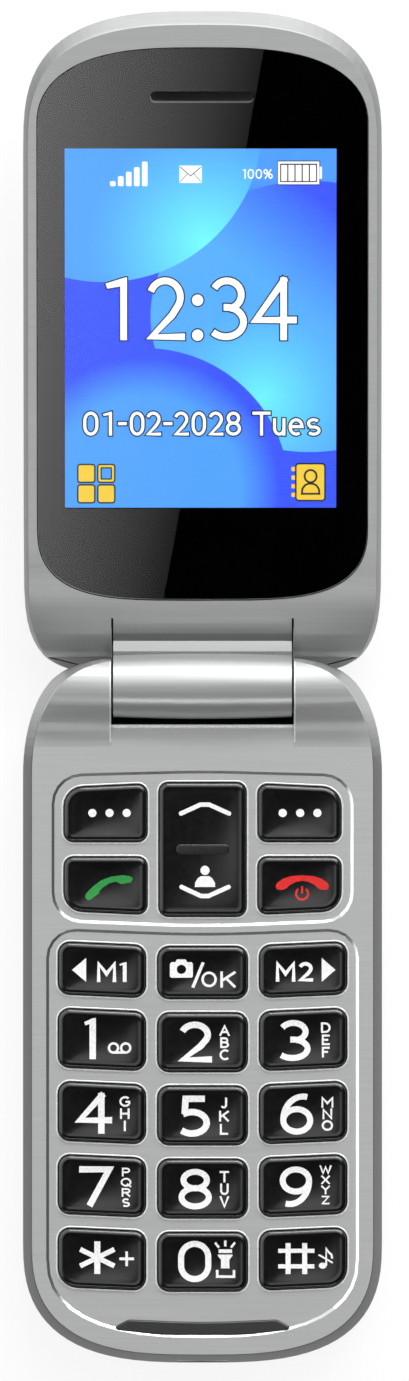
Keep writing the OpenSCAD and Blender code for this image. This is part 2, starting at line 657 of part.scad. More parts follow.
// Neck: the middle of the face falls away, then rises in a ramp to the barrel
function neck_profile() = concat(
  [[neck_y + 2, lid_face]],
  [for (i = [0:6]) let (t = i/6) [neck_y - t*(neck_y - 6.95), lid_face - 0.8*t*t]],
  [[5.55, 0], [barrel_r - 0.2, 0.05], [0, 0.05], [0, -barrel_r], [neck_y + 2, -barrel_r]]);
flex_w = 3;
flex_x0 = barrel_half - pin_reach - 0.3;  // the flat cable's way starts at the end of the pin's bore
flex_way_z = -2.3;
flex_way_h = 0.9;

barrel_n = 8;  // steps along half of the barrel's swelling
module barrel() rotate([0, 90, 0]) rotate_extrude() polygon(concat(
  [[0, barrel_half], [0, -barrel_half]],
  [for (i = [-barrel_n:barrel_n]) let (t = i/barrel_n) [barrel_r + barrel_crown*(1 - t*t), t*barrel_half]]));

module lid_front_shell() color(silver) in_lid() difference() {
  union() {
    difference() {
      lid_outer_front();
      lid_room(-far, lid_face - lid_face_wall);
      // the middle is the neck's
      block(-barrel_half - knuckle_gap, barrel_half + knuckle_gap, -far, neck_y, -far, far);
    }
    difference() {
      across(neck_profile(), -barrel_half, barrel_half);
      lid_room(-far, lid_face - lid_face_wall);
    }
    barrel();
    at_screws(lid_screw_xy) translate([0, 0, lid_seam + seam_gap])
      cylinder(r = boss_r, h = lid_face_wall/2 + under_face - lid_seam);
  }
  plate(lens_outline(-lens_gap), ledge_z, far);
  block(screen_x - screen_w/2 - window_gap, screen_x + screen_w/2 + window_gap,
    screen_y - window_gap, screen_y + screen_h + window_gap, -far, far);
  plate(rounded(slot_corners(ear_w - 2, ear_h, ear_y)), -far, far);
  at_screws(lid_screw_xy) {
    translate([0, 0, ledge_z - 0.15 - head_t]) cylinder(r = head_r + 0.1, h = 5);
    translate([0, 0, -far]) cylinder(r = screw_r + screw_fit, h = 2*far);
  }
  // blind bores for the pins, and the way for the flat cable
  drum(pin_r + pin_fit, -barrel_half - eps, -barrel_half + pin_reach + 0.3);
  drum(pin_r + pin_fit, barrel_half - pin_reach - 0.3, barrel_half + eps);
  block(flex_x0, flex_x0 + flex_w, 0, 4, flex_way_z - flex_way_h, 0);
  block(flex_x0, flex_x0 + flex_w, 0, neck_y + 1, flex_way_z - flex_way_h, flex_way_z);
}

camera_y = lid_len - camera_down;
camera_seat = 0.8;
module lid_rear_shell() color(silver) in_lid() difference() {
  union() {
    difference() {
      lid_outer_rear();
      lid_room(lid_back + wall, far);
      block(-barrel_half - knuckle_gap, barrel_half + knuckle_gap, -far, lid_room_y0 - 2, -far, far);
    }
    at_screws(lid_screw_xy) translate([0, 0, lid_back + eps])
      cylinder(r = boss_r, h = lid_seam - lid_back - eps);
  }
  at_screws(lid_screw_xy) translate([0, 0, lid_back + wall]) cylinder(r = screw_r + screw_fit, h = far);
  post(0, camera_y, camera_r + 0.1, lid_back - eps, lid_back + camera_seat);
  post(0, camera_y, camera_r - 0.8, lid_back - eps, far);
  post(torch_dx, camera_y, torch_r + 0.1, lid_back - eps, lid_back + camera_seat);
  post(torch_dx, camera_y, torch_r - 0.4, lid_back - eps, far);
}

module display_lens() color([0.03, 0.03, 0.03]) in_lid() difference() {
  plate(lens_outline(0), lens_top - lens_t, lens_top);
  plate(rounded(slot_corners(ear_w, ear_h, ear_y)), -far, far);
}

under_face = lid_face - lid_face_wall;
module display_panel() color([0.3, 0.6, 1]) in_lid()
  block(screen_x - screen_w/2, screen_x + screen_w/2, screen_y, screen_y + screen_h,
    under_face - panel_t, ledge_z - 0.2);

frame_rim = 2.4;
frame_t = 0.6;
module display_frame() color(steel) in_lid() difference() {
  plate(rounded(box_corners(screen_x - screen_w/2 - frame_rim, screen_y - frame_rim,
    screen_x + screen_w/2 + frame_rim, screen_y + screen_h + frame_rim, 1)),
    under_face - panel_t - frame_t, under_face - eps);
  block(screen_x - screen_w/2 - 0.1, screen_x + screen_w/2 + 0.1, screen_y - 0.1, screen_y + screen_h + 0.1,
    under_face - panel_t, far);
}

module earpiece() color(black) in_lid()
  plate(rounded(box_corners(-6, ear_y - 3, 6, ear_y + 3, 1.4)), under_face - 2.1, under_face - eps);
module earpiece_mesh() color(steel) in_lid()
  plate(rounded(slot_corners(ear_w - 0.1, ear_h - 0.1, ear_y)), ledge_z, ledge_z + 0.45);

lid_board_z = under_face - panel_t - frame_t - 0.8;
module lid_board() color(green) in_lid() difference() {
  plate(rounded(box_corners(0.4 - screen_w/2, lens_y + 0.4, screen_w/2 - 0.4, ear_y - 5.8, 2)),
    lid_board_z, lid_board_z + 0.7);
  at_screws(lid_screw_xy) cylinder(r = boss_r + 0.3, h = 2*far, center = true);
}

module camera_module() color(black) in_lid() {
  block(-4, 4, camera_y - 4, camera_y + 4, lid_back + wall + 0.6, under_face - 2.2);
  post(0, camera_y, camera_r - 1, lid_back + camera_seat + 0.1, lid_back + wall + 0.7);
}
module camera_window() color(black) in_lid()
  post(0, camera_y, camera_r, lid_back + 0.05, lid_back + camera_seat);
module torch_led() color("white") in_lid()
  post(torch_dx, camera_y, torch_r - 0.5, lid_back + camera_seat + 0.1, under_face - 2.2);
module torch_window() color("white") in_lid()
  post(torch_dx, camera_y, torch_r, lid_back + 0.05, lid_back + camera_seat);

module lid_magnet() color(steel) in_lid()
  block(magnet_x - 2, magnet_x + 2, magnet_y - 1.5, magnet_y + 1.5, under_face - 1.6, under_face - eps);

module lid_screws() color(steel) in_lid() at_screws(lid_screw_xy)
  translate([0, 0, ledge_z - 0.1]) mirror([0, 0, 1]) screw(5);

flex_t = 0.2;
flex_gap = 0.3;
// Flat cable: flat on the board, up beside the display and through the neck to the pin's bore
module lid_flex() color([0.8, 0.5, 0.15]) in_lid() {
  x0 = flex_x0 + flex_gap;
  x1 = flex_x0 + flex_w - flex_gap;
  z1 = flex_way_z - flex_gap;
  y1 = lid_room_y0 + 1;  // where it bends down
  block(x0, x1, y1, lens_y + 6.4, lid_board_z - flex_t, lid_board_z);
  block(x0, x1, y1, y1 + flex_t, lid_board_z - flex_t, z1);
  block(x0, x1, pin_r + 0.4, y1 + flex_t, z1 - flex_t, z1);
}

base_front_shell();
base_rear_shell();
battery_cover();
battery();
battery_contacts();
sim_socket();
main_board();
board_shields();
keypad_sheet();
key_domes();
mic_insert();
microphone();
loudspeaker();
vibration_motor();
usb_socket();
antenna();
hall_sensor();
base_screws();
hinge_cartridge();
hinge_pin();
for (k = KEYS) key(k[0]);
lid_front_shell();
lid_rear_shell();
display_lens();
display_panel();
display_frame();
earpiece();
earpiece_mesh();
lid_board();
camera_module();
camera_window();
torch_led();
torch_window();
lid_magnet();
lid_screws();
lid_flex();
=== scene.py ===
"""Flip phone, open: looks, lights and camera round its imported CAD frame."""

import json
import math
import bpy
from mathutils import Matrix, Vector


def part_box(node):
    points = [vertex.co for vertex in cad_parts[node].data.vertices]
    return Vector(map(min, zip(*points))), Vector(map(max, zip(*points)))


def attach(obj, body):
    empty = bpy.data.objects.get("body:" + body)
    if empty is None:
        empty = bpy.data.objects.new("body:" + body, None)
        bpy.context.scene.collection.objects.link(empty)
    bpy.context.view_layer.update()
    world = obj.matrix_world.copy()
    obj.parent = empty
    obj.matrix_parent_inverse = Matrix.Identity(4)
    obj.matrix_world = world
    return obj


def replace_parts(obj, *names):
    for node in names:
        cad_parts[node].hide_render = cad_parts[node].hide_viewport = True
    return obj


bl_info = {
    "name": "Flip Phone",
    "version": (1, 0, 0),
    "blender": (4, 5, 0),
    "location": "3D View > Sidebar > Flip Phone",
    "description": "Casings, keys, display, hinge and stage of an open flip phone",
    "category": "Object",
}

import bmesh
import bpy
from bpy.props import FloatProperty, FloatVectorProperty, IntProperty, PointerProperty
from mathutils import Matrix, Vector
from mathutils.geometry import convex_hull_2d
from mathutils.bvhtree import BVHTree

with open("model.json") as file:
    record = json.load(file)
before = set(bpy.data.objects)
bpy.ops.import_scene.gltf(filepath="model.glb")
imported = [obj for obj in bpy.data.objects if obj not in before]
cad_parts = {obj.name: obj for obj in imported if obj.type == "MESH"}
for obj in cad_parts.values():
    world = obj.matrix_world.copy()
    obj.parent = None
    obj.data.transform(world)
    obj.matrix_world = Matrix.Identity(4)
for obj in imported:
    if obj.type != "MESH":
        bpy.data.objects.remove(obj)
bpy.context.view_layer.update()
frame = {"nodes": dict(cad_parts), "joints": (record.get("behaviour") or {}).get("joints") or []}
NODES = frame["nodes"]
HINGE_AT = Vector(next(j["pos_m"] for j in frame["joints"] if j["name"] == "lid_hinge"))

MM = 0.001
OPEN_TILT = math.radians(9)  # how far the open display half stands above the keypad half
LID_PLACE = Matrix.Translation(HINGE_AT) @ Matrix.Rotation(OPEN_TILT, 4, "X")
KEY_TOP_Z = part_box("key_5")[1].z
PANEL_Z = KEY_TOP_Z - 0.72 * MM  # floor of the key panels
BARREL_HALF = 14.1 * MM
KNUCKLE_X = 14.45 * MM  # inner faces of the knuckles
KNUCKLE_DEPTH = 0.0075  # how far the knuckles reach over the keypad half from the hinge's axis
BARREL_EDGE, NECK_EDGE, HOLLOW_EDGE = 0.00535, 0.0085, 0.0067  # reach of barrel, neck and hollow from the axis
BASE_SEAM, LID_SEAM = 5.06 * MM, -5.14 * MM  # heights of the seams, each in its half's own axes
TOUCH = 2e-5  # how far a CAD point may lie off the height that it is looked up by
SIDE_STEP = 0.0011  # longest face along a key's edge

# The photograph's frame, in pixels, and the plane at which one pixel is PIXEL wide
FRAME_W, FRAME_H = 409, 1381
PIXEL = 0.158 * MM
EYE_AT, EYE_HEIGHT = (0.000316, -0.00026), 3.0  # where the eye stands, and how far above the keys
KEYS = [
    "soft_left_key", "nav_key", "soft_right_key", "call_key", "end_key", "m1_key", "camera_key", "m2_key",
    "key_1", "key_2", "key_3", "key_4", "key_5", "key_6", "key_7", "key_8", "key_9", "star_key", "key_0",
    "hash_key",
]


# ---------------------------------------------------------------- settings


def colour(name, description, default):
    return FloatVectorProperty(name=name, description=description, default=default, subtype="COLOR",
                               size=3, min=0, max=1)


def size(name, description, default):
    return FloatProperty(name=name, description=description, default=default, unit="LENGTH", precision=5)


class PhoneFinish(bpy.types.PropertyGroup):
    """Colours and surface of the casings, keys and trim."""

    silver: colour("Silver", "Paint of the casings", (0.44, 0.448, 0.446))
    # a light paint for the beads round the key holes, on the hinge lip and along the knuckles: painted highlight
    rim: colour("Rim", "Bright edge round each key hole", (0.78, 0.79, 0.79))
    key: colour("Key", "Gloss plastic of the keys", (0.0045, 0.0045, 0.005))
    mark: colour("Mark", "Printed numbers and signs on the keys", (0.8, 0.8, 0.8))
    trim: colour("Trim", "Dark insert over the microphone", (0.022, 0.022, 0.024))
    metallic: FloatProperty(name="Metallic", description="Share of metal flake in the paint", default=0.35,
                            min=0, max=1, subtype="FACTOR")
    brushing: FloatProperty(name="Brushing", description="Strength of the fine lines in the paint", default=0.045,
                            min=0, max=1, subtype="FACTOR")


class PhoneKeys(bpy.types.PropertyGroup):
    """Shape of the keys and of the edges round their holes."""

    dish: size("Dish", "Depth of the hollow in each key's top", 0.0003)
    rim_width: size("Rim width", "Width of the bright edge round each key hole", 0.00026)
    rim_height: size("Rim height", "Height of that edge above the panel", 0.00007)
    mark_thickness: size("Mark thickness", "Thickness of the printed marks", 0.00002)
    corner_steps: IntProperty(name="Corner steps", description="Faces round each corner of a key", default=9,
                              min=3, max=16)


class PhoneScreen(bpy.types.PropertyGroup):
    """Colours of the lit screen."""

    deep: colour("Deep", "Darkest blue of the wallpaper", (0.030, 0.080, 1.0))
    middle: colour("Middle", "Middle blue of the wallpaper", (0.068, 0.34, 1.0))
    light: colour("Light", "Lightest blue of the wallpaper", (0.15, 0.90, 1.0))
    symbol: colour("Symbol", "Yellow of the two menu symbols", (0.85, 0.58, 0.05))
    glow: FloatProperty(name="Glow", description="Strength of the lit screen", default=1.12, min=0)


class PhoneStage(bpy.types.PropertyGroup):
    """Camera, lamps and floor."""

    distance: FloatProperty(name="Camera distance", description="Camera above the keys' tops",
                            default=EYE_HEIGHT, unit="LENGTH")
    key_power: FloatProperty(name="Main lamp", description="Power of the large lamp, upper left", default=3.2,
                             unit="POWER")
    sky: FloatProperty(name="Sky", description="Soft light from all round", default=0.86, min=0)
    top_power: FloatProperty(name="Top strip", description="Power of the strip lamp beyond the display end",
                             default=8.0, unit="POWER")
    low_power: FloatProperty(name="Low strip", description="Power of the strip lamp beyond the keypad end",
                             default=1.6, unit="POWER")
    floor: colour("Floor", "Colour of the floor", (0.9, 0.9, 0.9))


# ---------------------------------------------------------------- materials


class Nodes:
    """A node tree under construction."""

    def __init__(self, tree):
        self.tree = tree

    def add(self, kind, **values):
        node = self.tree.nodes.new(kind)
        for key, value in values.items():
            setattr(node, key, value)
        return node

    def link(self, a, b):
        self.tree.links.new(a, b)

    def fill(self, *pairs):
        """Links or sets each socket to its value."""
        for socket, value in pairs:
            if hasattr(value, "is_output"):
                self.link(value, socket)
            else:
                socket.default_value = value

    def math(self, operation, a, b=0.0, c=None, clamp=False):
        node = self.add("ShaderNodeMath", operation=operation, use_clamp=clamp)
        self.fill(*zip(node.inputs, [a, b] + ([] if c is None else [c])))
        return node.outputs[0]


class Shader(Nodes):
    """A material under construction, with one Principled BSDF."""

    def __init__(self, name, **values):
        self.material = bpy.data.materials.new(name)
        self.material.use_nodes = True
        super().__init__(self.material.node_tree)
        self.tree.nodes.clear()
        self.out = self.add("ShaderNodeOutputMaterial")
        self.bsdf = self.add("ShaderNodeBsdfPrincipled")
        self.link(self.bsdf.outputs[0], self.out.inputs["Surface"])
        self.place = None
        for key, value in values.items():
            self.set(key, value)

    def set(self, key, value):
        socket = self.bsdf.inputs[key.replace("_", " ").title().replace("Ior", "IOR")]
        socket.default_value = (*value, 1) if hasattr(value, "__len__") and len(value) == 3 else value

    def coords(self, stretch=(1, 1, 1), turn=0.0):
        """Object coordinates, stretched and turned about X."""
        if self.place is None:
            self.place = self.add("ShaderNodeTexCoord").outputs["Object"]
        mapping = self.add("ShaderNodeMapping", vector_type="TEXTURE")
        mapping.inputs["Rotation"].default_value = (turn, 0, 0)
        mapping.inputs["Scale"].default_value = stretch
        self.link(self.place, mapping.inputs["Vector"])
        return mapping.outputs[0]

    def noise(self, scale, stretch=(1, 1, 1), detail=3.0, turn=0.0):
        node = self.add("ShaderNodeTexNoise")
        self.fill((node.inputs["Scale"], scale), (node.inputs["Detail"], detail),
                  (node.inputs["Vector"], self.coords(stretch, turn)))
        return node.outputs["Fac"]

    def between(self, factor, low, high, frm=0.3, to=0.7):
        """A value from low to high as factor goes from frm to to."""
        node = self.add("ShaderNodeMapRange")
        self.fill(*zip(node.inputs, (factor, frm, to, low, high)))
        return node.outputs[0]

    def blend(self, factor, low, high):
        """A colour from low to high, each a colour or a socket."""
        node = self.add("ShaderNodeMix", data_type="RGBA")
        ends = [value if hasattr(value, "is_output") else (*value, 1) for value in (low, high)]
        self.fill((node.inputs["Factor"], factor), (node.inputs[6], ends[0]), (node.inputs[7], ends[1]))
        return node.outputs[2]

    def bump(self, height, depth, strength=1.0):
        node = self.add("ShaderNodeBump")
        self.fill((node.inputs["Strength"], strength), (node.inputs["Distance"], depth),
                  (node.inputs["Height"], height), (self.bsdf.inputs["Normal"], node.outputs[0]))

    def lid_place(self):
        """Object coordinates turned level with the display half, split."""
        turned = self.add("ShaderNodeVectorRotate", rotation_type="X_AXIS")
        split = self.add("ShaderNodeSeparateXYZ")
        self.fill((turned.inputs["Center"], HINGE_AT), (turned.inputs["Angle"], -OPEN_TILT),
                  (turned.inputs["Vector"], self.add("ShaderNodeTexCoord").outputs["Object"]),
                  (split.inputs[0], turned.outputs[0]))
        return split.outputs


def tint(c, share):
    """The colour made lighter or darker."""
    return tuple(min(1.0, v * share) for v in c)


def silver_paint(name, base, finish, rough=0.40, turn=0.0, metallic=None, falls_from=0.0):
    """Metal-flake paint with faint lines across the phone; polished, without them, where metallic is given."""
    s = Shader(name, metallic=finish.metallic if metallic is None else metallic, specular_ior_level=0.35)
    lines = s.noise(1, (0.02, 0.0003, 0.0003), detail=4, turn=turn)
    flakes = s.noise(9000, detail=1)
    spread = finish.brushing * (1 if metallic is None else 0.3)
    shade = s.math("ADD", s.between(lines, -0.5, 0.5), s.math("MULTIPLY", s.between(flakes, -0.5, 0.5), 0.4))
    factor = s.math("ADD", shade if metallic is None else flakes, 0.5 if metallic is None else 0.0, clamp=True)
    paint = s.blend(factor, tint(base, 1 - spread), tint(base, 1 + spread))
    # the "side" attribute blends the paint towards a much darker silver: painted shade on the steep bands
    dark = s.add("ShaderNodeAttribute", attribute_name="side")
    s.link(s.blend(dark.outputs["Fac"], paint, tint(base, 0.14)), s.bsdf.inputs["Base Color"])
    s.link(s.between(lines, rough - 0.02, rough + 0.02), s.bsdf.inputs["Roughness"])
    relief = s.math("MULTIPLY", lines, 0.0000006)
    if falls_from:
        # the display half's face falls away gently towards the hinge
        down = s.math("MAXIMUM", s.math("SUBTRACT", HINGE_AT.y + falls_from, s.lid_place()[1]), 0.0)
        relief = s.math("SUBTRACT", relief, s.math("MULTIPLY", s.math("MULTIPLY", down, down), 27.0))
    if metallic is None:
        s.bump(relief, 1.0)
    return s.material


def plain_plastic(name, base, rough, grain=0.00001, scale=2600, **values):
    """Moulded plastic with a fine even grain."""
    s = Shader(name, **values)
    grains = s.noise(scale, detail=2)
    s.link(s.blend(s.between(grains, 0, 1), tint(base, 0.88), tint(base, 1.12)), s.bsdf.inputs["Base Color"])
    s.link(s.between(grains, rough * 0.85, min(1, rough * 1.2)), s.bsdf.inputs["Roughness"])
    if grain:
        s.bump(grains, grain, 0.5)
    return s.material


def metal(name, base, rough):
    """Bare metal with an uneven polish."""
    s = Shader(name, metallic=1.0)
    lines = s.noise(1500)
    s.link(s.blend(s.between(lines, 0, 1), tint(base, 0.85), tint(base, 1.1)), s.bsdf.inputs["Base Color"])
    s.link(s.between(lines, rough * 0.7, min(1, rough * 1.3)), s.bsdf.inputs["Roughness"])
    s.bump(lines, 0.000005, 0.4)
    return s.material


def clear_glass(name, ior=1.5):
    """Clear glass with faint smears."""
    s = Shader(name, base_color=(1, 1, 1), ior=ior, transmission_weight=1.0)
    smears = s.noise(60, (1, 2.5, 1), detail=5)
    s.link(s.between(smears, 0.0, 0.012, 0.45, 0.8), s.bsdf.inputs["Roughness"])
    return s.material


def lit(name, base, glow):
    """A lit mark on the screen, with the display's fine rows."""
    s = Shader(name, base_color=(0, 0, 0), roughness=0.5, emission_strength=glow)
    rows = s.noise(1, (0.002, 0.00014, 0.00014), detail=1)
    s.link(s.blend(s.between(rows, 0, 1), tint(base, 0.985), base), s.bsdf.inputs["Emission Color"])
    return s.material


# ---------------------------------------------------------------- meshes


def placed(name, data):
    """A new object in the scene."""
    item = bpy.data.objects.new(name, data)
    bpy.context.scene.collection.objects.link(item)
    return item


def new_piece(name, mesh, body, slot, *materials):
    """Makes mesh a piece that rides on body."""
    piece = placed(name, mesh)
    for material in materials:
        mesh.materials.append(material)
    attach(piece, body)
    return piece


def paint_nodes(material, *nodes):
    """Gives CAD nodes that keep their shape their material."""
    for node in nodes:
        NODES[node].data.materials.clear()
        NODES[node].data.materials.append(material)


def raw_mesh(bm, name):
    """Turns bm into a mesh, as it is."""
    mesh = bpy.data.meshes.new(name)
    bm.to_mesh(mesh)
    bm.free()
    return mesh


def mesh_from(bm, name, sharp=35):
    """Finishes bm as a mesh, smooth except at edges sharper than the angle."""
    mesh = raw_mesh(bm, name)
    if "custom_normal" in mesh.attributes:
        mesh.attributes.remove(mesh.attributes["custom_normal"])
    mesh.update()
    mesh.shade_smooth()
    mesh.set_sharp_from_angle(angle=math.radians(sharp))
    return mesh


def merged_copy(node, name, sharp=30):
    """A copy of a CAD node's mesh with its loose triangles joined."""
    bm = bmesh.new()
    bm.from_mesh(NODES[node].data)
    bmesh.ops.remove_doubles(bm, verts=bm.verts, dist=2e-6)
    bmesh.ops.dissolve_degenerate(bm, edges=bm.edges, dist=1e-6)
    for layer in list(bm.loops.layers.uv):
        bm.loops.layers.uv.remove(layer)
    mesh = mesh_from(bm, name, sharp)
    mesh.materials.clear()
    return mesh


def own_points(mesh):
    """A mesh's points in the display half's own axes."""
    back = LID_PLACE.inverted()
    return [back @ v.co for v in mesh.vertices]


def extent(points):
    """Lowest and highest corner of the box round points."""
    return [Vector([pick(p[i] for p in points) for i in range(3)]) for pick in (min, max)]


def corners_of(node, z):
    """Corners (x, y, radius) of a key's outline, from its CAD ring at height z, counter-clockwise."""
    ring = {(round(v.co.x, 6), round(v.co.y, 6)) for v in NODES[node].data.vertices
            if abs(v.co.z - z) < TOUCH}
    cx = sum(p[0] for p in ring) / len(ring)
    cy = sum(p[1] for p in ring) / len(ring)
    ring = sorted((Vector(p) for p in ring), key=lambda p: math.atan2(p.y - cy, p.x - cx))
    n = len(ring)
    sides = sorted(range(n), key=lambda i: -(ring[(i + 1) % n] - ring[i]).length)[:4]
    sides.sort()
    corners = []
    for k, i in enumerate(sides):
        a, b = ring[i], ring[(i + 1) % n]
        j = sides[(k + 1) % 4]
        c, d = ring[j], ring[(j + 1) % n]
        u, w = (b - a).normalized(), (d - c).normalized()
        t = (c - b).cross(w) / u.cross(w)
        corner = b + u * t
        turn = math.acos(max(-1, min(1, u.dot(w))))
        corners.append((corner.x, corner.y, t / math.tan(turn / 2)))
    return corners


def hull(points):
    """The outermost of the points, counter-clockwise."""
    flat = [p.xy for p in points]
    return [flat[i] for i in convex_hull_2d(flat)]


def rectangle(x0, y0, x1, y1, r):
    """Corners of a rectangle with one corner radius."""
    return [(x0, y0, r), (x1, y0, r), (x1, y1, r), (x0, y1, r)]


def rounded(corners, inset=0.0, steps=9):
    """Points of an outline with rounded corners, drawn in by inset, counter-clockwise."""
    n, points = len(corners), []
    for i, (x, y, r) in enumerate(corners):
        v = Vector((x, y))
        p, q = Vector(corners[i - 1][:2]), Vector(corners[(i + 1) % n][:2])
        e, f = (v - p).normalized(), (q - v).normalized()
        turn = math.atan2(e.cross(f), e.dot(f))
        centre = v + (f - e).normalized() * (r / math.cos(turn / 2))
        start = math.atan2(-e.x, e.y)
        for k in range(steps + 1):
            a = start + turn * k / steps
            points.append(centre + Vector((math.cos(a), math.sin(a))) * (r - inset))
    return points


def loft(bm, rings):
    """A closed body through rings of points, each a list of Vectors, lowest first."""
    rows = [[bm.verts.new(p) for p in ring] for ring in rings]
    n = len(rows[0])
    faces = []
    for a, b in zip(rows, rows[1:]):
        for i in range(n):
            faces.append(bm.faces.new((a[i], a[(i + 1) % n], b[(i + 1) % n], b[i])))
    for row in (rows[0][::-1], rows[-1]):
        middle = bm.verts.new(sum((v.co for v in row), Vector()) / n)
        for i in range(n):
            faces.append(bm.faces.new((row[i], row[(i + 1) % n], middle)))
    return faces


def thicken(bm, rise):
    """Makes the flat faces a closed plate."""
    low = bm.faces[:]
    made = bmesh.ops.extrude_face_region(bm, geom=low, use_keep_orig=True)["geom"]
    for v in (g for g in made if isinstance(g, bmesh.types.BMVert)):
        v.co.z += rise
    for face in low:
        face.normal_flip()
    bmesh.ops.recalc_face_normals(bm, faces=bm.faces)


# ---------------------------------------------------------------- drawing in the photograph's frame


def sight(u, v, distance=EYE_HEIGHT):
    """Eye and direction of the ray through a pixel of the photograph."""
    eye = Vector((*EYE_AT, KEY_TOP_Z + distance))
    aim = Vector(((u - FRAME_W / 2) * PIXEL, (FRAME_H / 2 - v) * PIXEL, -distance))
    return eye, aim / distance


def on_keys(u, v):
    """Point of the keys' top plane seen at a pixel."""
    eye, aim = sight(u, v)
    return (eye + aim * ((KEY_TOP_Z - eye.z) / aim.z)).xy


def on_lid(u, v, height):
    """Point (x, y) of the display half, in its own axes, seen at a pixel, on the plane at a height."""
    eye, aim = sight(u, v)
    back = LID_PLACE.inverted()
    eye, aim = back @ eye, back.to_3x3() @ aim
    return (eye + aim * ((height - eye.z) / aim.z)).xy


def arc(x, y, rx, ry, start, end, n=16):
    """Points of an arc, in degrees, clockwise from the right as seen."""
    steps = [math.radians(start + (end - start) * i / n) for i in range(n + 1)]
    return [(x + rx * math.cos(a), y + ry * math.sin(a)) for a in steps]


def loop(x, y, rx, ry, n):
    """Points all round an ellipse."""
    return arc(x, y, rx, ry, 0, 360, n)[:-1]


def ring(x, y, rx, ry):
    """An ellipse as a closed path of a letter."""
    return ["closed"] + loop(x, y, rx, ry, 28)


S_CURVE = arc(0.5, 0.26, 0.46, 0.26, -35, -250) + arc(0.5, 0.75, 0.5, 0.25, -110, 145)
# Centre lines of the letters and numbers, in a box from 0 to 1 across and down
GLYPHS = {
    "0": [["closed"] + arc(0.5, 0.38, 0.5, 0.38, -180, 0) + arc(0.5, 0.62, 0.5, 0.38, 0, 180)],
    "2": [arc(0.46, 0.29, 0.5, 0.29, 200, 388) + [(0.68, 0.62), (0.02, 1), (1, 1)]],
    "3": [arc(0.42, 0.25, 0.5, 0.25, 208, 440), arc(0.38, 0.735, 0.62, 0.265, -82, 137), [(0.3, 0.475), (0.5, 0.475)]],
    "4": [[(0.74, 0), (0, 0.7), (1, 0.7)], [(0.74, 0), (0.74, 1)]],
    "5": [[(0.92, 0), (0.14, 0), (0.1, 0.44)], arc(0.4, 0.69, 0.6, 0.31, -128, 135)],
    "6": [ring(0.51, 0.68, 0.49, 0.32), arc(0.74, 0.66, 0.72, 0.66, 180, 282)],
    "7": [[(0, 0), (1, 0), (0.32, 1)]],
    "8": [ring(0.5, 0.24, 0.43, 0.24), ring(0.5, 0.735, 0.5, 0.265)],
    "9": [ring(0.49, 0.32, 0.49, 0.32), arc(0.26, 0.34, 0.72, 0.66, 0, 102)],
    "-": [[(0, 0.5), (1, 0.5)]],
    "%": [ring(0.2, 0.24, 0.2, 0.24), ring(0.8, 0.76, 0.2, 0.24), [(0.85, 0), (0.15, 1)]],
    "A": [[(0, 1), (0.5, 0), (1, 1)], [(0.17, 0.66), (0.83, 0.66)]],
    "B": [["closed", (0, 0), (0.5, 0)] + arc(0.5, 0.235, 0.4, 0.235, -90, 90) + [(0, 0.47)],
          ["closed", (0, 0.47), (0.55, 0.47)] + arc(0.55, 0.735, 0.45, 0.265, -90, 90) + [(0, 1)]],
    "C": [arc(0.56, 0.5, 0.56, 0.5, -48, -312, 24)],
    "D": [["closed", (0, 0), (0.4, 0)] + arc(0.4, 0.5, 0.6, 0.5, -90, 90) + [(0, 1)]],
    "E": [[(1, 0), (0, 0), (0, 1), (1, 1)], [(0, 0.49), (0.9, 0.49)]],
    "F": [[(1, 0), (0, 0), (0, 1)], [(0, 0.48), (0.88, 0.48)]],
    "G": [arc(0.55, 0.5, 0.55, 0.5, -46, -318, 24), [(0.58, 0.54), (1, 0.54), (1, 0.84)]],
    "H": [[(0, 0), (0, 1)], [(1, 0), (1, 1)], [(0, 0.49), (1, 0.49)]],
    "I": [[(0.5, 0), (0.5, 1)]],
    "J": [[(0.9, 0), (0.9, 0.7)] + arc(0.45, 0.7, 0.45, 0.3, 0, 150)],
    "K": [[(0, 0), (0, 1)], [(1, 0), (0.04, 0.58)], [(0.34, 0.4), (1, 1)]],
    "L": [[(0, 0), (0, 1), (1, 1)]],
    "M": [[(0, 1), (0, 0), (0.5, 0.62), (1, 0), (1, 1)]],
    "N": [[(0, 1), (0, 0), (1, 1), (1, 0)]],
    "O": [ring(0.5, 0.5, 0.5, 0.5)],
    "P": [[(0, 1), (0, 0), (0.55, 0)] + arc(0.55, 0.27, 0.45, 0.27, -90, 90) + [(0, 0.54)]],
    "Q": [ring(0.5, 0.5, 0.5, 0.5), [(0.6, 0.72), (1, 1.1)]],
    "R": [[(0, 1), (0, 0), (0.55, 0)] + arc(0.55, 0.27, 0.45, 0.27, -90, 90) + [(0, 0.54)], [(0.45, 0.54), (1, 1)]],
    "S": [S_CURVE],
    "T": [[(0, 0), (1, 0)], [(0.5, 0), (0.5, 1)]],
    "U": [[(0, 0), (0, 0.64)] + arc(0.5, 0.64, 0.5, 0.36, 180, 0) + [(1, 0)]],
    "V": [[(0, 0), (0.5, 1), (1, 0)]],
    "W": [[(0, 0), (0.25, 1), (0.5, 0.12), (0.75, 1), (1, 0)]],
    "X": [[(0, 0), (1, 1)], [(1, 0), (0, 1)]],
    "Y": [[(0, 0), (0.5, 0.48), (1, 0)], [(0.5, 0.48), (0.5, 1)]],
    "Z": [[(0, 0), (1, 0), (0, 1), (1, 1)]],
    "u": [[(0, 0), (0, 0.58)] + arc(0.5, 0.58, 0.5, 0.42, 180, 0), [(1, 0), (1, 1)]],
    "e": [[(0.04, 0.48), (1, 0.48)] + arc(0.5, 0.5, 0.5, 0.5, -3, -305)],
    "s": [S_CURVE],
}


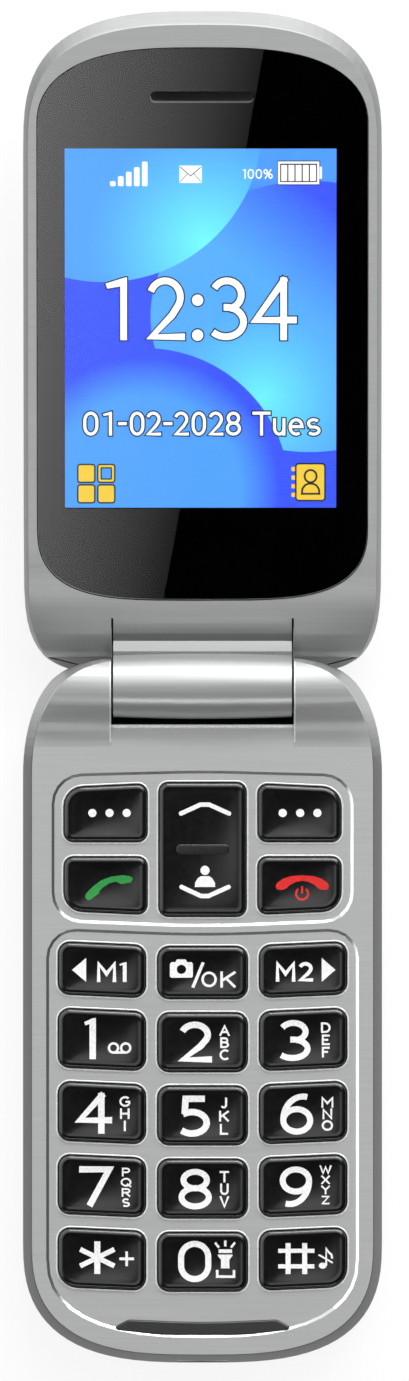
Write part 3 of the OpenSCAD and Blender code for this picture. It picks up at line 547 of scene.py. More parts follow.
class Ink:
    """Flat marks drawn in pixels and laid on a plane as thin closed plates."""

    def __init__(self, place):
        self.place = place
        self.bm = bmesh.new()
        self.level = 0

    def step(self):
        """Height of the next plate: a hair above the last, so that none lie in one plane."""
        self.level += 1
        return self.level * 1.2e-6

    def poly(self, points):
        """A filled outline; points in pixels."""
        flat, z = [self.place(*p) for p in points], self.step()
        verts = [self.bm.verts.new((p.x, p.y, z)) for p in flat]
        face = self.bm.faces.new(verts)
        face.normal_update()
        if face.normal.z < 0:
            face.normal_flip()

    def box(self, x0, y0, x1, y1, r=0.0):
        corners = rectangle(x0, y0, x1, y1, r)
        self.poly(rounded(corners, 0, 5) if r else [c[:2] for c in corners])

    def disc(self, x, y, r, r2=None, n=28):
        self.poly(loop(x, y, r, r2 or r, n))

    def stroke(self, points, width, closed=False, round_ends=False, swell=0.0):
        """A line of one width as one plate; a closed one is a frame."""
        pts = [Vector(p) for p in points]
        pts = [p for i, p in enumerate(pts) if i == 0 or (p - pts[i - 1]).length > 1e-6]
        if closed and (pts[0] - pts[-1]).length < 1e-6:
            pts.pop()
        if swell and not closed:
            pts[0] += (pts[0] - pts[1]).normalized() * swell
            pts[-1] += (pts[-1] - pts[-2]).normalized() * swell
        n, width = len(pts), width + 2 * swell
        left, right = [], []
        for i, p in enumerate(pts):
            before = pts[i - 1] if closed or i else None
            after = pts[(i + 1) % n] if closed or i < n - 1 else None
            d0 = (p - before).normalized() if before is not None else (after - p).normalized()
            d1 = (after - p).normalized() if after is not None else d0
            side = Vector((-(d0 + d1).y, (d0 + d1).x)).normalized()
            half = width / 2 / max(0.55, side.dot(Vector((-d0.y, d0.x))))
            left.append(p + side * half)
            right.append(p - side * half)
        z = self.step()
        flat = [[self.bm.verts.new((*self.place(*q), z)) for q in row] for row in (left, right)]
        for i in range(n if closed else n - 1):
            j = (i + 1) % n
            face = self.bm.faces.new((flat[0][i], flat[0][j], flat[1][j], flat[1][i]))
            face.normal_update()
            if face.normal.z < 0:
                face.normal_flip()
        if round_ends and not closed:
            for p in (pts[0], pts[-1]):
                self.disc(p.x, p.y, width / 2, n=16)

    def glyph(self, letter, x0, y0, x1, y1, width, swell=0.0):
        """A letter or number of even strokes, its outer edges on the box of pixels."""
        if letter == "1":
            h = y1 - y0
            flag = [(x0, y0 + 0.10 * h), (x1 - 0.62 * width, y0 + 0.012 * h), (x1 - 0.2 * width, y0), (x1, y0),
                    (x1, y1), (x1 - width, y1), (x1 - width, y0 + 0.145 * h), (x0 + 0.03 * h, y0 + 0.18 * h)]
            self.poly(flag)
            if swell:
                self.stroke(flag, 2 * swell, closed=True)
            return
        inset = width / 2
        for path in GLYPHS[letter]:
            closed = path[0] == "closed"
            pts = [(x0 + inset + (x1 - x0 - width) * u, y0 + inset + (y1 - y0 - width) * v)
                   for u, v in (path[1:] if closed else path)]
            if not closed:
                self.run_out(pts, path, inset)
            self.stroke(pts, width, closed, swell=swell)

    def run_out(self, pts, path, inset):
        """Straight ends on the box's edge are cut level with it."""
        for end, nxt in ((0, 1), (-1, -2)):
            u, v = path[end]
            d = Vector(pts[end]) - Vector(pts[nxt])
            if (v in (0, 1) and abs(d.y) > abs(d.x)) or (u in (0, 1) and abs(d.x) > abs(d.y)):
                pts[end] = tuple(Vector(pts[end]) + d.normalized() * inset)

    def plate(self, thickness, longest=None):
        """The marks as closed plates from 0 up to the thickness."""
        bm = self.bm
        bmesh.ops.remove_doubles(bm, verts=bm.verts, dist=1e-8)
        if longest:
            bmesh.ops.triangulate(bm, faces=bm.faces)
            for _ in range(3):
                long = [e for e in bm.edges if e.calc_length() > longest]
                if not long:
                    break
                bmesh.ops.subdivide_edges(bm, edges=long, cuts=1)
                bmesh.ops.triangulate(bm, faces=bm.faces)
        thicken(bm, thickness)
        return bm


def lay_on(bm, tree, lift):
    """Drops the marks' plates on the surface below them."""
    for v in bm.verts:
        hit = tree.ray_cast(Vector((v.co.x, v.co.y, 0.05)), Vector((0, 0, -1)))[0]
        v.co.z += (hit.z if hit else KEY_TOP_Z) + lift


# ---------------------------------------------------------------- Geometry Nodes


class Rule(Nodes):
    """A Geometry Nodes tree with named inputs, ended by Realize Instances and Set Material."""

    def __init__(self, name):
        super().__init__(bpy.data.node_groups.new(name, "GeometryNodeTree"))
        self.tree.interface.new_socket("Geometry", in_out="INPUT", socket_type="NodeSocketGeometry")
        self.tree.interface.new_socket("Geometry", in_out="OUTPUT", socket_type="NodeSocketGeometry")
        self.sockets = {}
        self.start = None

    def ask(self, name, kind="NodeSocketFloat", default=None):
        socket = self.tree.interface.new_socket(name, in_out="INPUT", socket_type=kind)
        if default is not None:
            socket.default_value = default
        self.sockets[name] = socket.identifier

    def given(self, name):
        if self.start is None:
            self.start = self.add("NodeGroupInput")
        return self.start.outputs[name]

    def end(self, geometry):
        realize = self.add("GeometryNodeRealizeInstances")
        finish = self.add("GeometryNodeSetMaterial")
        out = self.add("NodeGroupOutput")
        self.fill((realize.inputs[0], geometry), (finish.inputs["Geometry"], realize.outputs[0]),
                  (finish.inputs["Material"], self.given("Material")), (out.inputs[0], finish.outputs[0]))

    def run(self, name, mesh, values):
        """Applies the tree to mesh and returns the plain result."""
        holder = placed(name + "_rule", mesh)
        modifier = holder.modifiers.new("rule", "NODES")
        modifier.node_group = self.tree
        for key, value in values.items():
            modifier[self.sockets[key]] = value
        bpy.context.view_layer.update()
        made = bpy.data.meshes.new_from_object(holder.evaluated_get(bpy.context.evaluated_depsgraph_get()))
        holder.modifiers.remove(modifier)
        bpy.data.objects.remove(holder)
        if not made.polygons:
            raise RuntimeError(f"the rule for {name} made nothing")
        made.name = name
        made.shade_smooth()
        made.set_sharp_from_angle(angle=math.radians(40))
        return made


def bead_rule():
    """A low rounded bead along each line of the mesh."""
    rule = Rule("Bead")
    rule.ask("Width", default=0.0003)
    rule.ask("Height", default=0.0001)
    rule.ask("Steps", "NodeSocketInt", 10)
    rule.ask("Material", "NodeSocketMaterial")
    curve = rule.add("GeometryNodeMeshToCurve")
    circle = rule.add("GeometryNodeCurvePrimitiveCircle")
    squeeze = rule.add("ShaderNodeCombineXYZ")
    flat = rule.add("GeometryNodeTransform")
    level = rule.add("GeometryNodeSetCurveNormal", mode="Z_UP")
    sweep = rule.add("GeometryNodeCurveToMesh")
    width = rule.given("Width")
    share = rule.math("DIVIDE", rule.math("MULTIPLY", rule.given("Height"), 2.0), width)
    rule.fill((curve.inputs["Mesh"], rule.given("Geometry")), (circle.inputs["Resolution"], rule.given("Steps")),
              (circle.inputs["Radius"], rule.math("MULTIPLY", width, 0.5)), *zip(squeeze.inputs, (1.0, share, 1.0)),
              (flat.inputs["Geometry"], circle.outputs["Curve"]), (flat.inputs["Scale"], squeeze.outputs[0]),
              (level.inputs["Curve"], curve.outputs[0]), (sweep.inputs["Curve"], level.outputs[0]),
              (sweep.inputs["Profile Curve"], flat.outputs[0]), (sweep.inputs["Fill Caps"], True))
    rule.end(sweep.outputs[0])
    return rule


def rows_rule():
    """Copies of the mesh in a grid of rows across and along, every other row shifted."""
    rule = Rule("Rows")
    for name in ("Across", "Along", "Shift"):
        rule.ask(name, default=0.001)
    for name in ("Columns", "Rows"):
        rule.ask(name, "NodeSocketInt", 3)
    rule.ask("Material", "NodeSocketMaterial")
    grid, lines = [rule.add("GeometryNodeMeshLine", mode="OFFSET") for _ in range(2)]
    first, second = [rule.add("GeometryNodeInstanceOnPoints") for _ in range(2)]
    step_x, step_y, sideways = [rule.add("ShaderNodeCombineXYZ") for _ in range(3)]
    shifted = rule.add("GeometryNodeSetPosition")
    odd = rule.math("MODULO", rule.add("GeometryNodeInputIndex").outputs[0], 2.0)
    rule.fill((step_x.inputs[0], rule.given("Across")), (step_y.inputs[1], rule.given("Along")),
              (sideways.inputs[0], rule.math("MULTIPLY", odd, rule.given("Shift"))),
              (grid.inputs["Count"], rule.given("Columns")), (grid.inputs["Offset"], step_x.outputs[0]),
              (lines.inputs["Count"], rule.given("Rows")), (lines.inputs["Offset"], step_y.outputs[0]),
              (shifted.inputs["Geometry"], lines.outputs[0]), (shifted.inputs["Offset"], sideways.outputs[0]),
              (first.inputs["Points"], grid.outputs[0]), (first.inputs["Instance"], rule.given("Geometry")),
              (second.inputs["Points"], shifted.outputs[0]), (second.inputs["Instance"], first.outputs[0]))
    rule.end(second.outputs[0])
    return rule


# ---------------------------------------------------------------- casings


class FLIPPHONE_OT_casings(bpy.types.Operator):
    """Shows the casings and the battery cover as smooth painted shells"""

    bl_idname = "flip_phone.casings"
    bl_label = "Casings"

    def execute(self, context):
        finish = context.scene.phone_finish
        base_face = silver_paint("SilverPaint", finish.silver, finish)
        lid_face = silver_paint("SilverLid", finish.silver, finish, turn=OPEN_TILT, falls_from=0.0215)
        barrel = silver_paint("SilverBarrel", finish.silver, finish, rough=0.3, metallic=0.5)
        chamfer = silver_paint("PolishedChamfer", finish.silver, finish, rough=0.24, metallic=0.85)
        # twice as light a silver for the key panel walls that face left: painted highlight
        painted_highlight_chamfer = silver_paint("BrightChamfer", tint(finish.silver, 2.0), finish, rough=0.24, metallic=0.85)
        # near-black paint for the hollow under the barrel: painted shade
        inside = plain_plastic("BareInside", (0.002, 0.002, 0.0022), 0.8, specular_ior_level=0.1)
        for node, body, paint in (
            ("base_front_shell", "base", base_face), ("base_rear_shell", "base", base_face),
            ("battery_cover", "battery_cover", base_face), ("lid_front_shell", "lid", lid_face),
            ("lid_rear_shell", "lid", lid_face),
        ):
            mesh = merged_copy(node, node + "_skin", 19)
            own = (LID_PLACE.inverted() if body == "lid" else Matrix()).to_3x3()
            for face in mesh.polygons:
                face.use_smooth = abs((own @ face.normal).z) < 0.9999
            piece = new_piece(node + "_skin", mesh, body, "silver_paint", paint, inside,
                              *([barrel] if body == "lid" else [chamfer, painted_highlight_chamfer]))
            if body == "base":
                # large flat faces keep the curves beside them from bending their shade
                even = piece.modifiers.new("Even", "WEIGHTED_NORMAL")
                even.mode = "FACE_AREA"
                even.weight = 100
                even.keep_sharp = True
            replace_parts(piece, node)
            if "front" in node:
                self.paint_band_shade(mesh, LID_PLACE.inverted() if body == "lid" else Matrix(), body == "base")
        return {"FINISHED"}

    def paint_band_shade(self, mesh, own, with_end):
        """Painted shade: the steep band along the sides is a darker silver, and the hollow round the barrel is near
        black; the panel walls that face left get a painted highlight.
        """
        low = min(v.co.y for v in mesh.vertices)
        dark = mesh.attributes.new("side", "FLOAT", "FACE")
        for face in mesh.polygons:
            n, c = own.to_3x3() @ face.normal, own @ face.center
            reach = math.hypot(face.center.y - HINGE_AT.y, face.center.z - HINGE_AT.z)
            level = c.z - (HINGE_AT.z if with_end else 0)
            # painted shade on the sides that face outwards, darker the more they face sideways, fading out beside the
            # hinge
            if 0.05 < n.z < 0.85 and n.x * c.x > 0:
                near = min(1, max(0.25, (HINGE_AT.y - c.y - 0.001) / 0.011)) if with_end else 1
                dark.data[face.index].value = near * min(1, max(0, (abs(n.x) - 0.2) * (20 if with_end else 0.9)))
            if not with_end:
                # the barrel is polished, and the neck's edge beside it gets a little painted shade
                rim = max((mesh.vertices[v].co.yz - HINGE_AT.yz).length for v in face.vertices)
                if abs(c.x) < KNUCKLE_X and rim < NECK_EDGE:
                    face.material_index = 2 * (rim < BARREL_EDGE)
                    dark.data[face.index].value = 0.3 * (rim > BARREL_EDGE)
            # the hollow under the barrel gets the near-black paint: painted shade
            elif abs(c.x) < KNUCKLE_X and reach < HOLLOW_EDGE and level < 0.1 * MM:
                face.material_index = 1  # the hollow under the barrel
            # the key panel walls; those that face left get the lighter silver: painted highlight
            elif 0.7 < n.z < 0.93 and c.y < -0.012 and -0.35 * MM < level < 0:
                face.material_index = 3 if n.x < -0.3 else 2  # the walls of the key panels
            elif 0.05 < n.z < 0.95 and c.y < low + 0.006:
                # painted shade on the wall at the keypad's lower end
                dark.data[face.index].value = 1  # the wall at the keypad's lower end


# ---------------------------------------------------------------- keys


def key_rings(corners, top, dish, steps):
    """Rings of a key from its flange up over the bevel and into the hollow of its top."""
    profile = [(0.0, -0.42), (0.02, -0.30), (0.08, -0.20), (0.18, -0.11), (0.32, -0.045), (0.48, -0.012),
               (0.60, 0.0), (0.70, -0.005), (0.82, -0.02), (0.95, -0.04)]
    parts = side_parts(rounded(corners, 0, steps))
    rings = [[Vector((p.x, p.y, top + depth * MM)) for p in cut_sides(rounded(corners, inset * MM, steps), parts)]
             for inset, depth in profile]
    last = rings[-1]
    middle = sum(last, Vector()) / len(last)
    half = Vector((max(abs(p.x - middle.x) for p in last), max(abs(p.y - middle.y) for p in last)))
    for share in (0.95, 0.9, 0.84, 0.77, 0.69, 0.6, 0.5, 0.4, 0.3, 0.2, 0.1):
        row = []
        for p in last:
            x, y = (p.x - middle.x) * share, (p.y - middle.y) * share
            bowl = (1 - (x / half.x) ** 2) * (1 - (y / half.y) ** 2) * (1 - share ** 8)
            row.append(Vector((middle.x + x, middle.y + y, last[0].z - (dish - 0.04 * MM) * bowl)))
        rings.append(row)
    return rings


def side_parts(points):
    """How many faces go along each side of an outline."""
    n = len(points)
    return [max(1, round((points[(i + 1) % n] - points[i]).length / SIDE_STEP)) for i in range(n)]


def cut_sides(points, parts):
    """The outline with each side cut into its number of parts."""
    n, out = len(points), []
    for i, p in enumerate(points):
        q = points[(i + 1) % n]
        out += [p.lerp(q, k / parts[i]) for k in range(parts[i])]
    return out


class FLIPPHONE_OT_keys(bpy.types.Operator):
    """Makes the twenty keys, each with a soft bevel and a hollow top"""

    bl_idname = "flip_phone.keys"
    bl_label = "Keys"

    def execute(self, context):
        finish, keys = context.scene.phone_finish, context.scene.phone_keys
        gloss = plain_plastic("BlackKey", finish.key, 0.16, grain=0.000002, scale=900,
                              specular_ior_level=0.62, coat_weight=0.35, coat_roughness=0.06)
        skirt = plain_plastic("KeySkirt", (0.01, 0.01, 0.011), 0.5)
        bar = plain_plastic("NavBar", (0.012, 0.012, 0.013), 0.3, grain=0)
        for node in KEYS:
            low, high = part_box(node)
            corners = corners_of(node, high.z - 0.3 * MM)
            bm = bmesh.new()
            flange = [(-0.45, low.z), (-0.45, self.flange_top(node, low.z)), (0, self.flange_top(node, low.z))]
            count = keys.corner_steps
            parts = side_parts(rounded(corners, 0, count))
            rings = [[Vector((p.x, p.y, z)) for p in cut_sides(rounded(corners, inset * MM, count), parts)]
                     for inset, z in flange]
            loft(bm, rings + key_rings(corners, high.z, keys.dish, count))
            for face in bm.faces:
                face.material_index = 1 if face.calc_center_median().z < high.z - 0.45 * MM else 0
            if node == "nav_key":
                self.add_bar(bm, high.z - keys.dish)
            mesh = mesh_from(bm, node + "_cap", 50)
            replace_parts(new_piece(node + "_cap", mesh, node, "black_key", gloss, skirt, bar), node)
        return {"FINISHED"}

    def flange_top(self, node, low):
        """Height of the flange's top, from the CAD ring between the flange and the key."""
        heights = sorted({round(v.co.z, 6) for v in NODES[node].data.vertices})
        return heights[1] if heights[1] > low + 1e-5 else heights[2]

    def add_bar(self, bm, base):
        """The low bar across the middle of the rocker."""
        a, b = on_keys(176.3, 854.6), on_keys(229.2, 844.3)
        corners = rectangle(a.x, a.y, b.x, b.y, 0.0007)
        rings = []
        for inset, rise in ((0, -0.05), (0, 0.12), (0.04, 0.19), (0.12, 0.23), (0.24, 0.24)):
            rings.append([Vector((p.x, p.y, base + rise * MM)) for p in rounded(corners, inset * MM, 8)])
        for face in loft(bm, rings):
            face.material_index = 2


class FLIPPHONE_OT_edges(bpy.types.Operator):
    """Runs fine beads round the key holes and along the lip, the knuckles and the seams"""

    bl_idname = "flip_phone.edges"
    bl_label = "Edges"

    def execute(self, context):
        finish, keys = context.scene.phone_finish, context.scene.phone_keys
        # light paint for the beads round the key holes, on the lip and along the knuckles' edges: painted highlight
        bright = plain_plastic("BrightRim", finish.rim, 0.34, metallic=0.3)
        dark = plain_plastic("DarkSeam", (0.004, 0.004, 0.004), 0.75)
        self.rule = bead_rule()
        holes = []
        for node in KEYS:
            corners = corners_of(node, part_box(node)[1].z - 0.3 * MM)
            out = 0.2 * MM + keys.rim_width / 2
            holes.append([(p.x, p.y, PANEL_Z + 0.1 * keys.rim_height) for p in rounded(corners, -out, 10)])
        self.beads("key_hole_rims", holes, True, keys.rim_width, keys.rim_height, bright, "base", "silver_paint")
        lip = [(x * KNUCKLE_X / 10, HINGE_AT.y - 6.42 * MM, HINGE_AT.z - 0.13 * MM) for x in range(-10, 11)]
        self.beads("hinge_lip", [lip], False, 0.7 * MM, 0.18 * MM, bright, "base", "silver_paint")
        self.beads("knuckle_edges", [self.knuckle(-1), self.knuckle(1)], False, 0.24 * MM, 0.06 * MM, bright,
                   "base", "silver_paint")
        base = hull([v.co for v in NODES["base_front_shell"].data.vertices if abs(v.co.z - BASE_SEAM) < 0.08 * MM])
        self.beads("base_seam", self.opened(base, BASE_SEAM, 1), False, 0.2 * MM, 0.065 * MM, dark, "base",
                   "dark_trim")
        lid = hull([p for p in own_points(NODES["lid_front_shell"].data) if abs(p.z - LID_SEAM) < 0.08 * MM])
        lines = [[LID_PLACE @ Vector(p) for p in line] for line in self.opened(lid, LID_SEAM, -1)]
        self.beads("lid_seam", lines, False, 0.2 * MM, 0.065 * MM, dark, "lid", "dark_trim")
        return {"FINISHED"}

    def beads(self, name, lines, closed, width, height, paint, body, slot):
        bm = bmesh.new()
        for line in lines:
            verts = [bm.verts.new(p) for p in line]
            for a, b in zip(verts, verts[1:] + verts[:1] if closed else verts[1:]):
                bm.edges.new((a, b))
        made = self.rule.run(name, raw_mesh(bm, name + "_lines"),
                             {"Width": width, "Height": height, "Steps": 10, "Material": paint})
        new_piece(name, made, body, slot)

    def knuckle(self, side):
        """Side view of a knuckle, just beside its inner face."""
        x = side * KNUCKLE_X
        found = {(round(v.co.y, 6), round(v.co.z, 6)) for v in NODES["base_front_shell"].data.vertices
                 if abs(v.co.x - x) < TOUCH and v.co.z > HINGE_AT.z + 0.03 * MM}
        found = [(math.atan2(z - HINGE_AT.z, HINGE_AT.y - y), y, z) for y, z in found
                 if math.hypot(y - HINGE_AT.y, z - HINGE_AT.z) > 4.6 * MM]
        return [(x + side * 0.11 * MM, y, z) for _, y, z in sorted(found)]

    def opened(self, outline, z, end):
        """The outline as a line drawn in a hair, open between the knuckles at one end."""
        n, drawn = len(outline), []
        for i, p in enumerate(outline):
            d = (outline[(i + 1) % n] - outline[i - 1]).normalized()
            drawn.append(p + Vector((-d.y, d.x)) * 0.085 * MM)
        start = max(range(n), key=lambda i: end * (drawn[i].y + drawn[(i + 1) % n].y)
                    - (0 if drawn[i].x * drawn[(i + 1) % n].x < 0 else 1))
        line = [drawn[(start + 1 + k) % n] for k in range(n)]
        first, last = line[0], line[-1]
        for p, q, at in ((first, last, 0), (last, first, n + 1)):
            x = math.copysign(KNUCKLE_X + 0.2 * MM, p.x)
            if abs(p.x) > abs(x):
                line.insert(at, p.lerp(q, (x - p.x) / (q.x - p.x)))
        return [[(p.x, p.y, z) for p in line]]


# ---------------------------------------------------------------- marks on the keys


CAPITALS = dict(A=10.4, B=8.8, C=10.2, D=9.6, E=8.0, F=7.8, G=10.8, H=9.6, I=3.0, J=7.3, K=9.8, L=8.2, M=12.0,
                N=9.8, O=11.2, P=8.2, Q=10.6, R=8.6, S=8.0, T=9.4, U=8.6, V=9.4, W=12.0, X=8.6, Y=8.8, Z=7.8)


def letters(ink, words, x, y0, pitch, height):
    """Small capitals one under another."""
    for i, letter in enumerate(words):
        w, top = CAPITALS[letter], y0 + i * pitch
        ink.glyph(letter, x - w / 2, top, x + w / 2, top + height, 1.7 if len(words) > 3 else 2.0)


def draw_soft_dots(ink, xs):
    """Three dots in a row."""
    for x in xs:
        ink.disc(x, 813, 4.1)


def draw_nav(ink):
    """Up and down arrows, and the sign for contacts: a round over a half round."""
    ink.stroke([(181, 813.5), (200.5, 804.6), (209, 804.6), (229, 813.5)], 4.4, round_ends=True)
    ink.stroke([(181.5, 887), (201, 896), (208.4, 896), (228.6, 887)], 4.4, round_ends=True)
    ink.disc(205, 870.4, 4.6)
    ink.poly([(194.7, 887), (195.2, 882.5), (198, 878), (201, 876.2), (209, 876.2), (212, 878), (214.8, 882.5),
              (215.2, 887)])


def draw_call(ink):
    """A lifted handset."""
    ink.poly([(88.4, 900.1), (86.2, 898.9), (85.1, 896.4), (86.1, 893.4), (93, 886.5), (101.3, 880.3),
              (111.2, 876.6), (122.7, 875.2), (130.1, 876.2), (132.2, 877.6), (132.6, 879.5), (131, 882.3),
              (121.9, 884.1), (119.7, 883.5), (116.1, 881.5), (109.5, 883.2), (103.2, 887.3), (99.6, 890.6),
              (99.3, 893.1), (90.5, 899.7)])


def draw_end(ink):
    """A handset laid down, drawn as one half and its mirror image."""
    half = [(302.3, 875.3), (313.6, 876.1), (321.7, 878.7), (327.8, 883.2), (328.8, 886.5), (327.8, 889.2),
            (325, 889.9), (321.7, 889.7), (318.5, 888.6), (314.6, 885), (308.8, 881.9), (302.3, 880.8)]
    ink.poly(half + [(604.6 - x, y) for x, y in half[-2:0:-1]])


def draw_power(ink):
    """The power sign under it."""
    ink.stroke(arc(302.1, 893.6, 6, 6, -50, 230, 22), 2.0)
    ink.box(301.1, 886.2, 303.1, 893.4)


def draw_m1(ink):
    """A pointer to the left and the first memory key's name."""
    ink.poly([(72, 969.9), (86.1, 957.9), (86.1, 981.9)])
    ink.glyph("M", 96.9, 962.2, 116.2, 982, 3.6)
    ink.glyph("1", 119.4, 962.2, 126.6, 982, 3.8)


def draw_m2(ink):
    """The second memory key's name and a pointer to the right."""
    ink.poly([(335.4, 969.9), (321.7, 957.9), (321.7, 981.9)])
    ink.glyph("M", 275.8, 962, 295.4, 981.7, 3.6)
    ink.glyph("2", 298.6, 962, 313.1, 981.7, 3.6)


def draw_camera(ink):
    """A camera, its body made of four plates round the lens, a stroke and OK."""
    ink.poly([(169.9, 964), (171.5, 962.2), (175.4, 962.2), (177, 959.4), (185.6, 959.4), (187.2, 962.2),
              (191.6, 962.2), (192.9, 964), (192.9, 964.7), (169.9, 964.7)])
    ink.poly([(169.9, 974), (192.9, 974), (192.9, 976.4), (191.4, 977.7), (171.3, 977.7), (169.9, 976.4)])
    for side in (-1, 1):
        rim = arc(181.4, 969.35, side * 4.7, 4.65, -90, 90, 8)
        ink.poly(rim + [(181.4 + side * 11.5, 974), (181.4 + side * 11.5, 964.7)])
    ink.stroke([(192.8, 987.6), (203.2, 962.4)], 3)
    ink.glyph("O", 201.4, 971.6, 216.8, 987.2, 2.4)
    ink.glyph("K", 220.4, 971.4, 235.6, 987.6, 2.5)


def draw_digit(ink, word, x0, y0, x1, y1):
    """A large number, the round ones of a finer stroke."""
    ink.glyph(word, x0, y0, x1, y1, 6.0 if word == "0" else 5.9 if word in "3689" else 6.4)


def draw_voicemail(ink):
    """Two reels on a line."""
    for x in (113.5, 125.7):
        ink.stroke(loop(x, 1048, 4.6, 4.6, 24), 2.3, closed=True)
    ink.box(113.5, 1051.4, 125.7, 1053.7)


def draw_star(ink):
    """A star of three strokes."""
    ink.stroke([(97.3, 1241.4), (97.3, 1274)], 6.0)
    ink.stroke([(80.2, 1249.4), (114.4, 1266)], 4.9)
    ink.stroke([(80.2, 1266), (114.4, 1249.4)], 4.9)


def draw_plus(ink):
    """A small plus of three plates."""
    ink.box(119.4, 1257.5, 134, 1260.2)
    ink.box(125.4, 1251.5, 128, 1257.5)
    ink.box(125.4, 1260.2, 128, 1266.2)


def draw_torch(ink):
    """A torch with three rays, over the sign for a space."""
    ink.stroke([(215.1, 1242.6), (219, 1247.6)], 2.2)
    ink.stroke([(225.3, 1240.6), (225.3, 1246.4)], 2.4)
    ink.stroke([(235, 1242.6), (231, 1247.6)], 2.2)
    ink.box(218.6, 1249.4, 232, 1253)
    ink.poly([(217.7, 1254.6), (232.6, 1254.6), (232.2, 1256.2), (229.4, 1259.8), (229.4, 1268.4), (221, 1268.4),
              (221, 1259.8), (218.1, 1256.2)])
    ink.stroke([(217.2, 1270), (217.2, 1276.7), (234, 1276.7), (234, 1270)], 2.5)


def draw_hash(ink):
    """A hash of two upright strokes and two bars."""
    ink.stroke([(288.1, 1243.1), (288.1, 1274.1)], 5.0)
    ink.stroke([(304.7, 1243.1), (304.7, 1274.1)], 5.0)
    ink.box(278.2, 1248.8, 314.4, 1252.9)
    ink.box(278.2, 1264.3, 314.4, 1268.5)


def draw_quiet(ink):
    """A note struck through."""
    ink.disc(322.7, 1265.7, 3.9, 3)
    ink.stroke([(326.2, 1265.6), (326.2, 1248.4), (328.4, 1252), (331.4, 1254.6), (332.2, 1258.6)], 2.0)
    ink.stroke([(318.6, 1254.8), (332.8, 1262.8)], 1.7)


class FLIPPHONE_OT_marks(bpy.types.Operator):
    """Prints the numbers, letters and signs on the keys"""

    bl_idname = "flip_phone.marks"
    bl_label = "Marks"

    # in pixels of the photograph: number, left, top, right and bottom
    digits = {
        "key_1": ("1", 84.2, 1018, 95.9, 1059.2), "key_2": ("2", 179.6, 1021.6, 212, 1062.6),
        "key_3": ("3", 280, 1020, 310.6, 1061), "key_4": ("4", 76.6, 1093, 112.1, 1133.7),
        "key_5": ("5", 179, 1095.6, 210, 1136.8), "key_6": ("6", 279.8, 1093.6, 313.2, 1134.6),
        "key_7": ("7", 79.2, 1166.2, 112.4, 1206.2), "key_8": ("8", 178.6, 1168.9, 211.8, 1209.4),
        "key_9": ("9", 279.7, 1166.5, 312.6, 1207), "key_0": ("0", 178.1, 1240.9, 211.3, 1282.1),
    }
    # letters, their middle line, the first one's top, the step down and the height
    small = {
        "key_2": ("ABC", 224.6, 1025.2, 12.1, 10.8), "key_3": ("DEF", 325.8, 1022.4, 12.2, 10.6),
        "key_4": ("GHI", 124.8, 1096.2, 12.2, 10.6), "key_5": ("JKL", 224, 1097.6, 13.2, 10.8),
        "key_6": ("MNO", 327.4, 1097, 11.6, 10.6), "key_7": ("PQRS", 126, 1167.7, 10.2, 8.7),
        "key_8": ("TUV", 224.4, 1171, 12.6, 11.4), "key_9": ("WXYZ", 325.6, 1165.4, 10.1, 8.7),
    }

    def execute(self, context):
        finish, keys = context.scene.phone_finish, context.scene.phone_keys
        white = plain_plastic("PrintWhite", finish.mark, 0.42, grain=0)
        green = plain_plastic("PrintGreen", (0.012, 0.25, 0.042), 0.42, grain=0)
        red = plain_plastic("PrintRed", (0.62, 0.009, 0.008), 0.42, grain=0)
        drawn = {
            "soft_left_key": [(white, lambda i: draw_soft_dots(i, (92.3, 109.5, 126.7)))],
            "soft_right_key": [(white, lambda i: draw_soft_dots(i, (282.7, 300.2, 317.4)))],
            "nav_key": [(white, draw_nav)], "call_key": [(green, draw_call)],
            "end_key": [(red, draw_end), (red, draw_power)], "m1_key": [(white, draw_m1)],
            "m2_key": [(white, draw_m2)], "camera_key": [(white, draw_camera)],
            "key_1": [(white, draw_voicemail)], "star_key": [(white, draw_star), (white, draw_plus)],
            "key_0": [(white, draw_torch)], "hash_key": [(white, draw_hash), (white, draw_quiet)],
        }
        for node in KEYS:
            parts = list(drawn.get(node, []))
            if node in self.digits:
                word = self.digits[node]
                parts.insert(0, (white, lambda i, w=word: draw_digit(i, *w)))
            if node in self.small:
                word = self.small[node]
                parts.append((white, lambda i, w=word: letters(i, *w)))
            cap = bpy.data.objects[node + "_cap"]
            surface = BVHTree.FromPolygons([v.co for v in cap.data.vertices],
                                           [p.vertices[:] for p in cap.data.polygons])
            colours, whole = [], bmesh.new()
            for paint, draw in parts:
                ink = Ink(on_keys)
                draw(ink)
                bm = ink.plate(keys.mark_thickness, 0.0007)
                lay_on(bm, surface, -0.2 * keys.mark_thickness)
                if paint not in colours:
                    colours.append(paint)
                for face in bm.faces:
                    face.material_index = colours.index(paint)
                part = raw_mesh(bm, "part")
                whole.from_mesh(part)
                bpy.data.meshes.remove(part)
            mesh = mesh_from(whole, node + "_mark", 40)
            new_piece(node + "_mark", mesh, node, None, *colours)
        return {"FINISHED"}


# ---------------------------------------------------------------- display


LENS_TOP = -0.98 * MM  # the glass's face, in the display half's own axes
LENS_UNDER = -1.98 * MM
PANEL_TOP = -2.23 * MM


def lid_mesh(bm, name, sharp=35):
    """Finishes a mesh drawn in the display half's own axes."""
    bm.transform(LID_PLACE)
    return mesh_from(bm, name, sharp)


def glass_outline(z):
    """The glass's outline at a height, in the display half's own axes."""
    return hull([p for p in own_points(bpy.data.objects["display_glass"].data) if abs(p.z - z) < TOUCH])


